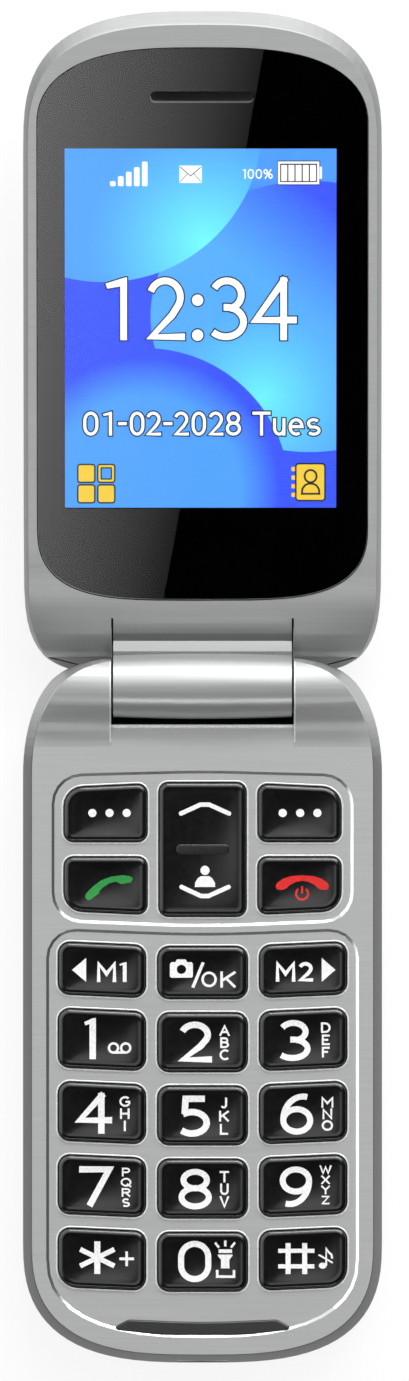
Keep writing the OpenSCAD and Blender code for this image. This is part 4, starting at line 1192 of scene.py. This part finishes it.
class FLIPPHONE_OT_display(bpy.types.Operator):
    """Makes the glass and its black print, open over the screen and the earpiece"""

    bl_idname = "flip_phone.display"
    bl_label = "Display glass"

    def execute(self, context):
        # over the screen the glass is coated against reflections
        mesh = self.with_window(merged_copy("display_lens", "display_glass"))
        piece = new_piece("display_glass", mesh, "lid", "display_glass", clear_glass("DisplayGlass"),
                          clear_glass("CoatedGlass", 1.2))
        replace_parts(piece, "display_lens")
        up = LID_PLACE.to_3x3() @ Vector((0, 0, 1))
        for face in mesh.polygons:
            face.use_smooth = abs(face.normal.dot(up)) < 0.99
        self.add_print()
        return {"FINISHED"}

    def with_window(self, mesh):
        """Cuts the glass along the screen's edges and gives the faces inside them the second material."""
        low, high = self.window()
        bm = bmesh.new()
        bm.from_mesh(mesh)
        bm.transform(LID_PLACE.inverted())
        for at, normal in ((low, (1, 0, 0)), (low, (0, 1, 0)), (high, (1, 0, 0)), (high, (0, 1, 0))):
            bmesh.ops.bisect_plane(bm, geom=bm.verts[:] + bm.edges[:] + bm.faces[:], dist=1e-7,
                                   plane_co=(at.x, at.y, 0), plane_no=normal)
        for face in bm.faces:
            c = face.calc_center_median()
            face.material_index = int(low.x < c.x < high.x and low.y < c.y < high.y)
        bm.transform(LID_PLACE)
        bm.to_mesh(mesh)
        bm.free()
        return mesh

    def add_print(self):
        """The black sheet behind the glass, open over the screen and the earpiece."""
        outer = glass_outline(LENS_UNDER)
        mid = sum(outer, Vector((0, 0))) / len(outer)
        low, high = self.window()
        slot_low, slot_high = on_lid(150, 102.6, LENS_UNDER), on_lid(253.6, 93, LENS_UNDER)
        bm = bmesh.new()
        z = LENS_UNDER - 0.03 * MM
        loops = [
            [mid + (p - mid) * 0.999 for p in outer],
            rounded(rectangle(*low.xy, *high.xy, 1e-4), 0, 2),
            rounded(rectangle(*slot_low, *slot_high, 0.00074), 0, 8),
        ]
        edges = []
        for loop in loops:
            verts = [bm.verts.new((p.x, p.y, z)) for p in loop]
            edges += [bm.edges.new((a, b)) for a, b in zip(verts, verts[1:] + verts[:1])]
        bmesh.ops.triangle_fill(bm, edges=edges, use_beauty=True)
        for a, b in ((low, high), (slot_low, slot_high)):
            inside = [f for f in bm.faces if a.x < f.calc_center_median().x < b.x
                      and a.y < f.calc_center_median().y < b.y]
            bmesh.ops.delete(bm, geom=inside, context="FACES")
        thicken(bm, 0.02 * MM)
        black = plain_plastic("BlackPrint", (0.0008, 0.0008, 0.0009), 0.6, grain=0, specular_ior_level=0.0)
        new_piece("display_print", lid_mesh(bm, "display_print"), "lid", "display_glass", black)

    def window(self):
        """The lit area, from the panel's own node."""
        return extent(own_points(NODES["display_panel"].data))


def wallpaper(screen):
    """Soft overlapping discs of blue, lit from behind."""
    s = Shader("LitScreen", base_color=(0, 0, 0), roughness=0.5, emission_strength=screen.glow)
    x, y, _ = s.lid_place()

    def disc(u, v, ru, rv, soft=0.00012):
        """1 inside an ellipse given in the photograph's pixels, 0 outside, and how far out a point is."""
        centre = on_lid(u, v, PANEL_TOP) + Vector((0, HINGE_AT.y))
        dx = s.math("DIVIDE", s.math("SUBTRACT", x, centre.x), ru * PIXEL)
        dy = s.math("DIVIDE", s.math("SUBTRACT", y, centre.y), rv * PIXEL)
        out = s.math("SQRT", s.math("ADD", s.math("MULTIPLY", dx, dx), s.math("MULTIPLY", dy, dy)))
        return s.between(out, 1, 0, 1 - soft / (ru * PIXEL), 1), out

    def glow(u, v, r):
        """1 at the middle of a disc, dying away to 0 at its edge."""
        return s.math("POWER", s.between(disc(u, v, r, r)[1], 1, 0, 0, 1), 1.4)

    def slope(u0, v0, u1, v1):
        """0 at one pixel and 1 at another, level across the line between them."""
        a = on_lid(u0, v0, PANEL_TOP) + Vector((0, HINGE_AT.y))
        b = on_lid(u1, v1, PANEL_TOP) + Vector((0, HINGE_AT.y))
        d = (b - a) / (b - a).length_squared
        return s.math("ADD", s.math("MULTIPLY", s.math("SUBTRACT", x, a.x), d.x),
                      s.math("MULTIPLY", s.math("SUBTRACT", y, a.y), d.y), clamp=True)

    deep, mid, light = screen.deep, screen.middle, screen.light
    shade = s.blend(slope(300, 178, 300, 240), tint(mid, 0.92), deep)
    # right-hand disc: deep at its top, light at its foot
    inside = disc(309.8, 316.4, 159.3, 136.9)[0]
    fill = s.blend(slope(320, 198, 258.3, 276.7), deep, tint(mid, 1.15))
    shade = s.blend(inside, shade, s.blend(glow(262, 398, 95), fill, tint(light, 0.92)))
    # upper left disc: light near its lower right edge
    inside = disc(103.7, 124.8, 158.4, 158.4)[0]
    shade = s.blend(inside, shade, s.blend(glow(205, 243, 122), mid, light))
    # lower left disc: deep at its top left
    inside, out = disc(144.9, 490.8, 144.5, 144.5)
    shade = s.blend(inside, shade, s.blend(s.between(out, 1, 0, 0.66, 0.93), deep, tint(mid, 0.98)))
    rows = s.noise(1, (0.002, 0.00014, 0.00014), detail=1)
    shade = s.blend(s.between(rows, 0.0, 0.02), shade, (1, 1, 1))
    s.link(shade, s.bsdf.inputs["Emission Color"])
    return s.material


class FLIPPHONE_OT_seals(bpy.types.Operator):
    """Fills the gap round the glass, and lines the slots beside the hinge barrel with black that stands in for their
    shade
    """

    bl_idname = "flip_phone.seals"
    bl_label = "Seals"

    def execute(self, context):
        rubber = plain_plastic("BlackSeal", (0.004, 0.004, 0.004), 0.75)
        outer = glass_outline(LENS_TOP)
        bm = bmesh.new()
        n, loop = len(outer), []
        for i, p in enumerate(outer):
            d = (outer[(i + 1) % n] - outer[i - 1]).normalized()
            loop.append(p + Vector((d.y, -d.x)) * 0.075 * MM)
        verts = [bm.verts.new((p.x, p.y, LENS_TOP - 0.12 * MM)) for p in loop]
        for a, b in zip(verts, verts[1:] + verts[:1]):
            bm.edges.new((a, b))
        made = bead_rule().run("display_gasket", raw_mesh(bm, "gasket_line"), {
            "Width": 0.17 * MM, "Height": 0.1 * MM, "Steps": 8, "Material": rubber})
        made.transform(LID_PLACE)
        new_piece("display_gasket", made, "lid", "dark_trim")
        self.add_slot_shade(rubber)
        return {"FINISHED"}

    def add_slot_shade(self, rubber):
        """Black washers on the barrel's ends, drawn out under the neck's edges: they close the slots, and their black
        is painted shade.
        """
        bm = bmesh.new()
        r = 4.35 * MM
        section = arc(0, 0, r, r, 100, 290, 24)
        section += [(4.6 * MM, -4.6 * MM), (10.95 * MM, -4.6 * MM), (10.95 * MM, -1.9 * MM), (8.6 * MM, -2.2 * MM),
                    (6.4 * MM, -2.0 * MM), (5.0 * MM, -0.9 * MM)]
        section += arc(0, 0, r, r, 0, 90, 12)
        for side in (-1, 1):
            x0, x1 = sorted((side * BARREL_HALF, side * (BARREL_HALF + 0.3 * MM)))
            rings = [[bm.verts.new((x, y, z)) for y, z in section] for x in (x0, x1)]
            n = len(section)
            for i in range(n):
                bm.faces.new((rings[0][i], rings[0][(i + 1) % n], rings[1][(i + 1) % n], rings[1][i]))
            bm.faces.new(rings[0])
            bm.faces.new(rings[1])
        bmesh.ops.triangulate(bm, faces=[f for f in bm.faces if len(f.verts) > 4])
        bmesh.ops.recalc_face_normals(bm, faces=bm.faces)
        new_piece("hinge_slot_shade", lid_mesh(bm, "hinge_slot_shade"), "lid", "dark_trim", rubber)


class FLIPPHONE_OT_screen(bpy.types.Operator):
    """Lights the screen: wallpaper, clock, date and signs"""

    bl_idname = "flip_phone.screen"
    bl_label = "Screen"

    def execute(self, context):
        screen = context.scene.phone_screen
        paint_nodes(wallpaper(screen), "display_panel")
        white = lit("LitWhite", (0.97, 0.97, 0.97), screen.glow)
        dark = lit("LitOutline", (0.008, 0.012, 0.03), screen.glow)
        yellow = lit("LitYellow", screen.symbol, screen.glow)
        self.add("screen_outlines", self.outlines, dark, 0.010)
        self.add("screen_words", self.words, white, 0.030)
        self.add("screen_signs", self.signs, white, 0.030)
        self.add("screen_symbols", self.symbols, yellow, 0.030)
        self.add("screen_symbol_lines", self.symbol_lines, dark, 0.045)
        return {"FINISHED"}

    def add(self, name, draw, paint, height):
        ink = Ink(lambda u, v: on_lid(u, v, PANEL_TOP))
        draw(ink)
        bm = ink.plate(0.008 * MM)
        bmesh.ops.translate(bm, verts=bm.verts, vec=(0, 0, PANEL_TOP + height * MM))
        new_piece(name, lid_mesh(bm, name), "lid", "lit_screen", paint)

    def type_on(self, ink, swell):
        """The clock and the date under it, with strokes widened by swell."""
        for word, x0, x1 in (("1", 105.4, 127), ("2", 147.8, 185), ("3", 211.6, 247), ("4", 252.4, 296.8)):
            ink.glyph(word, x0, 277.2, x1, 340, 6.8, swell)
        ink.disc(197.6, 300, 5.7 + swell)
        ink.disc(197.6, 335, 5.7 + swell)
        for word, x0, x1 in (("0", 83.2, 98.4), ("1", 103, 112), ("-", 118, 126.8), ("0", 129.8, 144.4),
                             ("2", 146.4, 161), ("-", 163.4, 172.4), ("2", 174.2, 188.8), ("0", 191.6, 206),
                             ("2", 208.8, 223.4), ("8", 225.8, 241), ("T", 252.4, 270.6)):
            ink.glyph(word, x0, 411.4, x1, 435.4, 3.1, swell)
        for word, x0, x1 in (("u", 273, 285.4), ("e", 288.6, 303.6), ("s", 306.6, 320.6)):
            ink.glyph(word, x0, 418, x1, 435.4, 3.0, swell)

    def outlines(self, ink):
        """Dark edges under the clock, the date and the battery."""
        ink.box(277.2, 160.4, 320.2, 185, 1)
        self.type_on(ink, 1.3)

    def words(self, ink):
        """The clock, the date and the charge."""
        self.type_on(ink, 0.0)
        for word, x0, x1 in (("1", 242.6, 245.8), ("0", 247.6, 254), ("0", 255.6, 262), ("%", 263.4, 272.8)):
            ink.glyph(word, x0, 168.8, x1, 178.6, 1.35)

    def signs(self, ink):
        """Signal bars, message and battery along the top."""
        for i, h in enumerate((5, 10, 14.4, 19, 24.6)):
            x = 110 + i * 8
            ink.box(x, 186 - h, x + 5.6, 186, 1.4)
        ink.box(179.4, 165.4, 201.8, 182.8, 0.8)
        ink.stroke([(279, 162.4), (318.2, 162.4), (318.2, 183), (279, 183)], 2.2, closed=True)
        ink.box(319.6, 166.6, 322, 178.6)
        for i in range(5):
            ink.box(281.2 + i * 7.2, 164.8, 287.2 + i * 7.2, 180.8)

    def symbols(self, ink):
        """The two menu symbols: four tiles and an address book."""
        for x, y in ((77.8, 464.2), (77.8, 484.6), (97.8, 484.6)):
            ink.box(x, y, x + 17, y + 18, 2.4)
        ink.stroke([(99.4, 465.8), (113.2, 465.8), (113.2, 480.6), (99.4, 480.6)], 3.2, closed=True)
        ink.box(295.8, 463.4, 325, 500.4, 3)
        for y in (466.6, 475.2, 483.8, 492.4):
            ink.box(291.4, y, 296.4, y + 4.4, 1.2)

    def symbol_lines(self, ink):
        """Dark lines on the message sign and round the two symbols."""
        ink.stroke([(180, 166.6), (190.6, 175.8), (201.2, 166.6)], 0.8)
        ink.stroke([(180, 181.8), (187.4, 173.4)], 0.6)
        ink.stroke([(201.2, 181.8), (193.8, 173.4)], 0.6)
        for x, y in ((77.8, 464.2), (77.8, 484.6), (97.8, 484.6), (97.8, 464.2)):
            frame_line(ink, x, y, x + 17, y + 18, 2.4, 1.5)
        frame_line(ink, 101.2, 467.6, 111.4, 478.8, 0.6, 1.3)
        frame_line(ink, 295.8, 463.4, 325, 500.4, 3, 1.6)
        ink.stroke(loop(310.6, 476, 6, 6.2, 24), 1.9, closed=True)
        ink.stroke([(301.8, 493.6), (302.4, 488.6), (305, 485), (308.6, 483.4), (312.6, 483.4), (316.2, 485),
                    (318.8, 488.6), (319.4, 493.6)], 1.9, closed=True)


def frame_line(ink, x0, y0, x1, y1, r, w):
    """A thin line round a box."""
    ink.stroke(rounded(rectangle(x0, y0, x1, y1, r), 0, 4), w, closed=True)


class FLIPPHONE_OT_grille(bpy.types.Operator):
    """Weaves the fine dark mesh of the earpiece"""

    bl_idname = "flip_phone.grille"
    bl_label = "Earpiece grille"

    def execute(self, context):
        low, high = extent(own_points(NODES["earpiece_mesh"].data))
        dark = metal("GrilleWire", (0.012, 0.012, 0.013), 0.5)
        paint_nodes(plain_plastic("GrilleCloth", (0.004, 0.004, 0.004), 0.8), "earpiece_mesh")
        stud = bmesh.new()
        bmesh.ops.create_icosphere(stud, subdivisions=1, radius=0.00008)
        bmesh.ops.transform(stud, matrix=Matrix.Diagonal((1.5, 1, 0.6, 1)), verts=stud.verts)
        rows, columns = 7, 56
        step_y, step_x = (high.y - low.y - 0.0003) / (rows - 1), (high.x - low.x - 0.0016) / (columns - 1)
        bmesh.ops.translate(stud, verts=stud.verts, vec=(low.x + 0.0007, low.y + 0.00015, high.z))
        made = rows_rule().run("earpiece_grille", raw_mesh(stud, "grille_stud"), {
            "Across": step_x, "Along": step_y, "Shift": step_x / 2, "Columns": columns, "Rows": rows,
            "Material": dark})
        made.transform(LID_PLACE)
        new_piece("earpiece_grille", made, "lid", "dark_mesh")
        return {"FINISHED"}


# ---------------------------------------------------------------- back


class FLIPPHONE_OT_back(bpy.types.Operator):
    """Dresses the back: camera ring and lens, torch, cover grip"""

    bl_idname = "flip_phone.back"
    bl_label = "Back"

    def execute(self, context):
        low, high = extent(own_points(NODES["camera_window"].data))
        mid = Vector(((low.x + high.x) / 2, (low.y + high.y) / 2, low.z))
        r = (high.x - low.x) / 2
        steel = metal("LensRing", (0.6, 0.6, 0.62), 0.22)
        glass = Shader("CameraGlass", base_color=(0.004, 0.004, 0.006), roughness=0.04, specular_ior_level=0.7,
                       coat_weight=0.6, coat_roughness=0.02)
        shade = glass.noise(900, detail=1)
        glass.link(glass.between(shade, 0.03, 0.06), glass.bsdf.inputs["Roughness"])
        bm = bmesh.new()
        # bright ring let into the window's edge, then a stepped funnel and a domed lens
        self.turned(bm, mid, [(r - 0.45 * MM, 0.02), (r - 0.4 * MM, -0.04), (r - 0.15 * MM, -0.04),
                              (r - 0.05 * MM, 0.02), (r - 0.05 * MM, 0.3), (r - 0.45 * MM, 0.3)])
        new_piece("camera_ring", lid_mesh(bm, "camera_ring"), "lid", "steel", steel)
        bm = bmesh.new()
        dome = arc(0, 0.03, 1.15 * MM, 0.06, -90, 0, 8)[1:]
        self.turned(bm, mid, dome + [(1.15 * MM, 0.2), (0.1 * MM, 0.2)], cap=True)
        new_piece("camera_dome", lid_mesh(bm, "camera_dome", 60), "lid", "camera_glass", glass.material)
        paint_nodes(glass.material, "camera_window")
        lens = plain_plastic("TorchDiffuser", (0.85, 0.84, 0.76), 0.25, grain=0.00003, scale=1800,
                             specular_ior_level=0.6)
        paint_nodes(lens, "torch_window")
        self.grip(context)
        return {"FINISHED"}

    def turned(self, bm, mid, profile, cap=False):
        """A ring with the given (radius, depth in mm) section, closed round."""
        rows = [[bm.verts.new((x, y, mid.z + depth * MM)) for x, y in loop(mid.x, mid.y, radius, radius, 64)]
                for radius, depth in profile]
        count, n = len(rows), 64
        for j in range(count if not cap else count - 1):
            a, b = rows[j], rows[(j + 1) % count]
            for i in range(n):
                bm.faces.new((a[i], a[(i + 1) % n], b[(i + 1) % n], b[i]))
        if cap:
            bm.faces.new(rows[0])
            bm.faces.new(list(reversed(rows[-1])))
        bmesh.ops.recalc_face_normals(bm, faces=bm.faces)

    def grip(self, context):
        """Low ridges on the battery cover, under the finger notch."""
        low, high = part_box("battery_cover")
        ridge = bmesh.new()
        corners = rectangle(-0.0065, -0.00022, 0.0065, 0.00022, 0.0002)
        rings = [[Vector((p.x, p.y, z)) for p in rounded(corners, i * MM, 5)]
                 for i, z in ((0.12, -0.00008), (0.04, -0.00006), (0, 0.0), (0, 0.0001))]
        loft(ridge, rings)
        bmesh.ops.translate(ridge, verts=ridge.verts, vec=(0, high.y - 0.0085, low.z + 0.00006))
        finish = context.scene.phone_finish
        paint = silver_paint("SilverCover", finish.silver, finish)
        made = rows_rule().run("cover_grip", raw_mesh(ridge, "cover_ridge"), {
            "Across": 0.0, "Along": -0.0011, "Shift": 0.0, "Columns": 1, "Rows": 5, "Material": paint})
        new_piece("cover_grip", made, "battery_cover", "silver_paint")


# ---------------------------------------------------------------- inside parts


class FLIPPHONE_OT_inside(bpy.types.Operator):
    """Gives every part inside the casings its material"""

    bl_idname = "flip_phone.inside"
    bl_label = "Inside parts"

    def execute(self, context):
        steel = metal("PlainSteel", (0.55, 0.55, 0.57), 0.32)
        gold = metal("GoldContact", (0.83, 0.6, 0.25), 0.28)
        alloy = metal("LightAlloy", (0.68, 0.68, 0.7), 0.42)
        dark = plain_plastic("DarkModule", (0.025, 0.025, 0.028), 0.45)
        board = self.board()
        wrap = plain_plastic("BatteryWrap", (0.05, 0.05, 0.055), 0.4, scale=700)
        rubber = plain_plastic("Silicone", (0.32, 0.32, 0.33), 0.62)
        film = plain_plastic("FlatCable", (0.42, 0.19, 0.04), 0.35)
        led = plain_plastic("TorchChip", (0.8, 0.75, 0.4), 0.4)
        trim = plain_plastic("MicTrim", context.scene.phone_finish.trim, 0.38)
        for paint, nodes in (
            (steel, ("sim_socket", "key_domes", "usb_socket", "base_screws", "hinge_cartridge", "hinge_pin",
                     "lid_magnet", "lid_screws", "vibration_motor")),
            (alloy, ("board_shields", "display_frame")), (gold, ("battery_contacts", "antenna", "microphone")),
            (dark, ("loudspeaker", "hall_sensor", "earpiece", "camera_module")),
            (board, ("main_board", "lid_board")), (wrap, ("battery",)), (rubber, ("keypad_sheet",)),
            (film, ("lid_flex",)), (led, ("torch_led",)), (trim, ("mic_insert",)),
        ):
            paint_nodes(paint, *nodes)
        return {"FINISHED"}

    def board(self):
        """Green solder resist with copper lines showing through."""
        s = Shader("CircuitBoard", roughness=0.35)
        cells = s.add("ShaderNodeTexVoronoi", feature="DISTANCE_TO_EDGE", distance="MANHATTAN")
        cells.inputs["Scale"].default_value = 450
        s.link(s.coords(), cells.inputs["Vector"])
        lines = s.between(cells.outputs["Distance"], 1, 0, 0.03, 0.08)
        s.link(s.blend(lines, (0.008, 0.1, 0.035), (0.02, 0.2, 0.07)), s.bsdf.inputs["Base Color"])
        s.bump(lines, 0.00002, 0.4)
        return s.material


# ---------------------------------------------------------------- stage


class FLIPPHONE_OT_stage(bpy.types.Operator):
    """Sets up the floor, the sky, the lamps and the camera"""

    bl_idname = "flip_phone.stage"
    bl_label = "Stage"

    def execute(self, context):
        scene, stage = context.scene, context.scene.phone_stage
        scene.view_settings.view_transform = "Standard"
        self.floor(stage)
        self.sky(scene, stage)
        self.lamp("MainLamp", (0.35, 0.6, 0.95), (0.7, 0.7), stage.key_power)
        self.lamp("TopStrip", (0.25, 0.78, 0.57), (0.9, 0.12), stage.top_power)
        self.lamp("LowStrip", (0, -0.80, 0.58), (0.9, 0.12), stage.low_power)
        self.card()
        self.camera(scene, stage)
        return {"FINISHED"}

    def camera(self, scene, stage):
        data = bpy.data.cameras.new("Camera")
        data.sensor_width = 36
        data.lens = data.sensor_width * stage.distance / (FRAME_H * PIXEL)
        data.clip_start, data.clip_end = 0.1, 12
        camera = placed("Camera", data)
        camera.location = sight(0, 0, stage.distance)[0]
        scene.camera = camera

    def lamp(self, name, at, spread, power):
        """A rectangular lamp that faces the keys."""
        data = bpy.data.lights.new(name, "AREA")
        data.shape = "RECTANGLE"
        data.size, data.size_y = spread
        data.energy = power
        lamp = placed(name, data)
        lamp.location = at
        lamp.rotation_euler = (Vector((0, 0, KEY_TOP_Z)) - Vector(at)).to_track_quat("-Z", "Y").to_euler()

    def floor(self, stage):
        """A wide pale floor that fades into the white round it."""
        bm = bmesh.new()
        bmesh.ops.create_grid(bm, x_segments=8, y_segments=8, size=1.6)
        bmesh.ops.translate(bm, verts=bm.verts, vec=(0, 0, -0.00002))
        mesh = mesh_from(bm, "floor")
        s = Shader("FloorWhite", base_color=tuple(stage.floor), roughness=0.9, specular_ior_level=0.0)
        white, mix = s.add("ShaderNodeEmission"), s.add("ShaderNodeMixShader")
        path = s.add("ShaderNodeLightPath")
        seen = s.math("MAXIMUM", path.outputs["Is Camera Ray"],
                      s.math("MAXIMUM", path.outputs["Is Glossy Ray"], path.outputs["Is Transmission Ray"]))
        s.fill((white.inputs["Color"], (1, 1, 1, 1)), (mix.inputs[0], s.math("MULTIPLY", seen, 0.86)),
               (mix.inputs[1], s.bsdf.outputs[0]), (mix.inputs[2], white.outputs[0]),
               (s.out.inputs["Surface"], mix.outputs[0]))
        mesh.materials.append(s.material)
        placed("floor", mesh)

    def sky(self, scene, stage):
        """White to the camera, even light, and to polished parts bright at the upper left and dark below."""
        scene.world = bpy.data.worlds.new("Sky")
        scene.world.use_nodes = True
        sky = Nodes(scene.world.node_tree)
        sky.tree.nodes.clear()
        place = sky.add("ShaderNodeTexCoord").outputs["Generated"]

        def towards(direction):
            """How far a ray leans towards a direction, from -1 to 1."""
            node = sky.add("ShaderNodeVectorMath", operation="DOT_PRODUCT")
            sky.fill((node.inputs[0], place), (node.inputs[1], direction))
            return node.outputs["Value"]

        def background(colour, strength):
            node = sky.add("ShaderNodeBackground")
            sky.fill((node.inputs["Color"], colour), (node.inputs["Strength"], strength))
            return node.outputs[0]

        def either(factor, first, second):
            node = sky.add("ShaderNodeMixShader")
            sky.fill(*zip(node.inputs, (factor, first, second)))
            return node.outputs[0]

        ramp = sky.add("ShaderNodeValToRGB")
        ramp.color_ramp.interpolation = "EASE"
        stops = ((0.38, 0.0), (0.5, 0.025), (0.575, 0.5), (0.9, 1.0))
        for element, (at, value) in zip(ramp.color_ramp.elements, (stops[0], stops[-1])):
            element.position, element.color = at, (value, value, value, 1)
        for at, value in stops[1:-1]:
            ramp.color_ramp.elements.new(at).color = (value, value, value, 1)
        sky.link(sky.math("MULTIPLY_ADD", towards((-0.6, 0.8, 0.0)), 0.5, 0.5), ramp.inputs[0])
        soft = sky.add("ShaderNodeMapRange")
        sky.fill(*zip(soft.inputs, (towards((0.1, 0.75, 0.65)), -0.55, 1.0, 0.05, 1.05)))
        path, out = sky.add("ShaderNodeLightPath"), sky.add("ShaderNodeOutputWorld")
        lit_by = either(path.outputs["Is Glossy Ray"], background(soft.outputs[0], stage.sky),
                        background(ramp.outputs[0], 2.0))
        sky.link(either(path.outputs["Is Camera Ray"], lit_by, background((1, 1, 1, 1), 1.0)), out.inputs["Surface"])

    def card(self):
        """A bright card that only polished surfaces see, with its edge across the glass."""
        normal = LID_PLACE.to_3x3() @ Vector((0, 0, 1))
        plane_at = LID_PLACE @ Vector((0, 0, LENS_TOP))
        reach = 2.0

        def mirrored(u, v):
            eye, aim = sight(u, v)
            hit = eye + aim * ((plane_at - eye).dot(normal) / aim.dot(normal))
            out = (aim - 2 * aim.dot(normal) * normal).normalized()
            return hit + out * reach

        # its edge is seen on the glass from pixel 263 at the top to 164 at the foot
        top, low = mirrored(263, 55), mirrored(164, 597)
        far_top, far_low = mirrored(-140, 55), mirrored(-140, 597)
        along = top - low
        corners = [low - along * 0.5, top + along * 0.5, far_top + along * 0.5, far_low - along * 0.5]
        bm = bmesh.new()
        rows, columns = 2, 24
        shade = bm.verts.layers.float.new("distance")
        verts = [[bm.verts.new(corners[0].lerp(corners[3], c / columns).lerp(
            corners[1].lerp(corners[2], c / columns), r / rows)) for c in range(columns + 1)]
            for r in range(rows + 1)]
        for r in range(rows + 1):
            for c in range(columns + 1):
                verts[r][c][shade] = c / columns
        for r in range(rows):
            for c in range(columns):
                bm.faces.new((verts[r][c], verts[r][c + 1], verts[r + 1][c + 1], verts[r + 1][c]))
        mesh = raw_mesh(bm, "card")
        s = Shader("CardGlow", base_color=(0, 0, 0), roughness=1.0)
        given = s.add("ShaderNodeAttribute", attribute_name="distance")
        # the card shines on whatever stands beyond the keypad, wherever the camera is: each ray is followed
        # back to the surface that it left
        where, path = s.add("ShaderNodeNewGeometry"), s.add("ShaderNodeLightPath")
        start, split = s.add("ShaderNodeVectorMath", operation="MULTIPLY_ADD"), s.add("ShaderNodeSeparateXYZ")
        s.fill((start.inputs[0], where.outputs["Incoming"]), (start.inputs[1], path.outputs["Ray Length"]),
               (start.inputs[2], where.outputs["Position"]), (split.inputs[0], start.outputs[0]))
        seen = s.math("GREATER_THAN", split.outputs["Y"], HINGE_AT.y - KNUCKLE_DEPTH)
        strength = s.math("MULTIPLY", s.between(given.outputs["Fac"], 0.35, 4.2, 0.0, 0.75), seen)
        s.fill((s.bsdf.inputs["Emission Color"], (1, 1, 1, 1)), (s.bsdf.inputs["Emission Strength"], strength))
        mesh.materials.append(s.material)
        card = placed("card", mesh)
        card.visible_camera = False
        card.visible_diffuse = False
        card.visible_shadow = False
        card.visible_transmission = False


class FLIPPHONE_PT_panel(bpy.types.Panel):
    """Lists the phone's parts and their sizes and colours"""

    bl_idname = "FLIPPHONE_PT_panel"
    bl_label = "Flip Phone"
    bl_space_type = "VIEW_3D"
    bl_region_type = "UI"
    bl_category = "Flip Phone"

    def draw(self, context):
        for operator in OPERATORS:
            self.layout.operator(operator.bl_idname)
        for group in GROUPS:
            box = self.layout.box()
            box.label(text=group)
            settings = getattr(context.scene, group)
            for name in settings.bl_rna.properties.keys():
                if name not in {"rna_type", "name"}:
                    box.prop(settings, name)


GROUPS = {"phone_finish": PhoneFinish, "phone_keys": PhoneKeys, "phone_screen": PhoneScreen,
          "phone_stage": PhoneStage}
OPERATORS = (FLIPPHONE_OT_stage, FLIPPHONE_OT_casings, FLIPPHONE_OT_keys, FLIPPHONE_OT_edges,
             FLIPPHONE_OT_marks, FLIPPHONE_OT_display, FLIPPHONE_OT_seals, FLIPPHONE_OT_screen, FLIPPHONE_OT_grille,
             FLIPPHONE_OT_back, FLIPPHONE_OT_inside)


def register():
    for group in GROUPS.values():
        bpy.utils.register_class(group)
    for operator in OPERATORS:
        bpy.utils.register_class(operator)
    bpy.utils.register_class(FLIPPHONE_PT_panel)
    for name, group in GROUPS.items():
        setattr(bpy.types.Scene, name, PointerProperty(type=group))


def unregister():
    for name in GROUPS:
        delattr(bpy.types.Scene, name)
    bpy.utils.unregister_class(FLIPPHONE_PT_panel)
    for operator in reversed(OPERATORS):
        bpy.utils.unregister_class(operator)
    for group in reversed(GROUPS.values()):
        bpy.utils.unregister_class(group)


def main():
    register()
    bpy.ops.flip_phone.stage()
    bpy.ops.flip_phone.casings()
    bpy.ops.flip_phone.keys()
    bpy.ops.flip_phone.edges()
    bpy.ops.flip_phone.marks()
    bpy.ops.flip_phone.display()
    bpy.ops.flip_phone.seals()
    bpy.ops.flip_phone.screen()
    bpy.ops.flip_phone.grille()
    bpy.ops.flip_phone.back()
    bpy.ops.flip_phone.inside()
    bpy.context.view_layer.update()


if __name__ == "__main__":
    main()
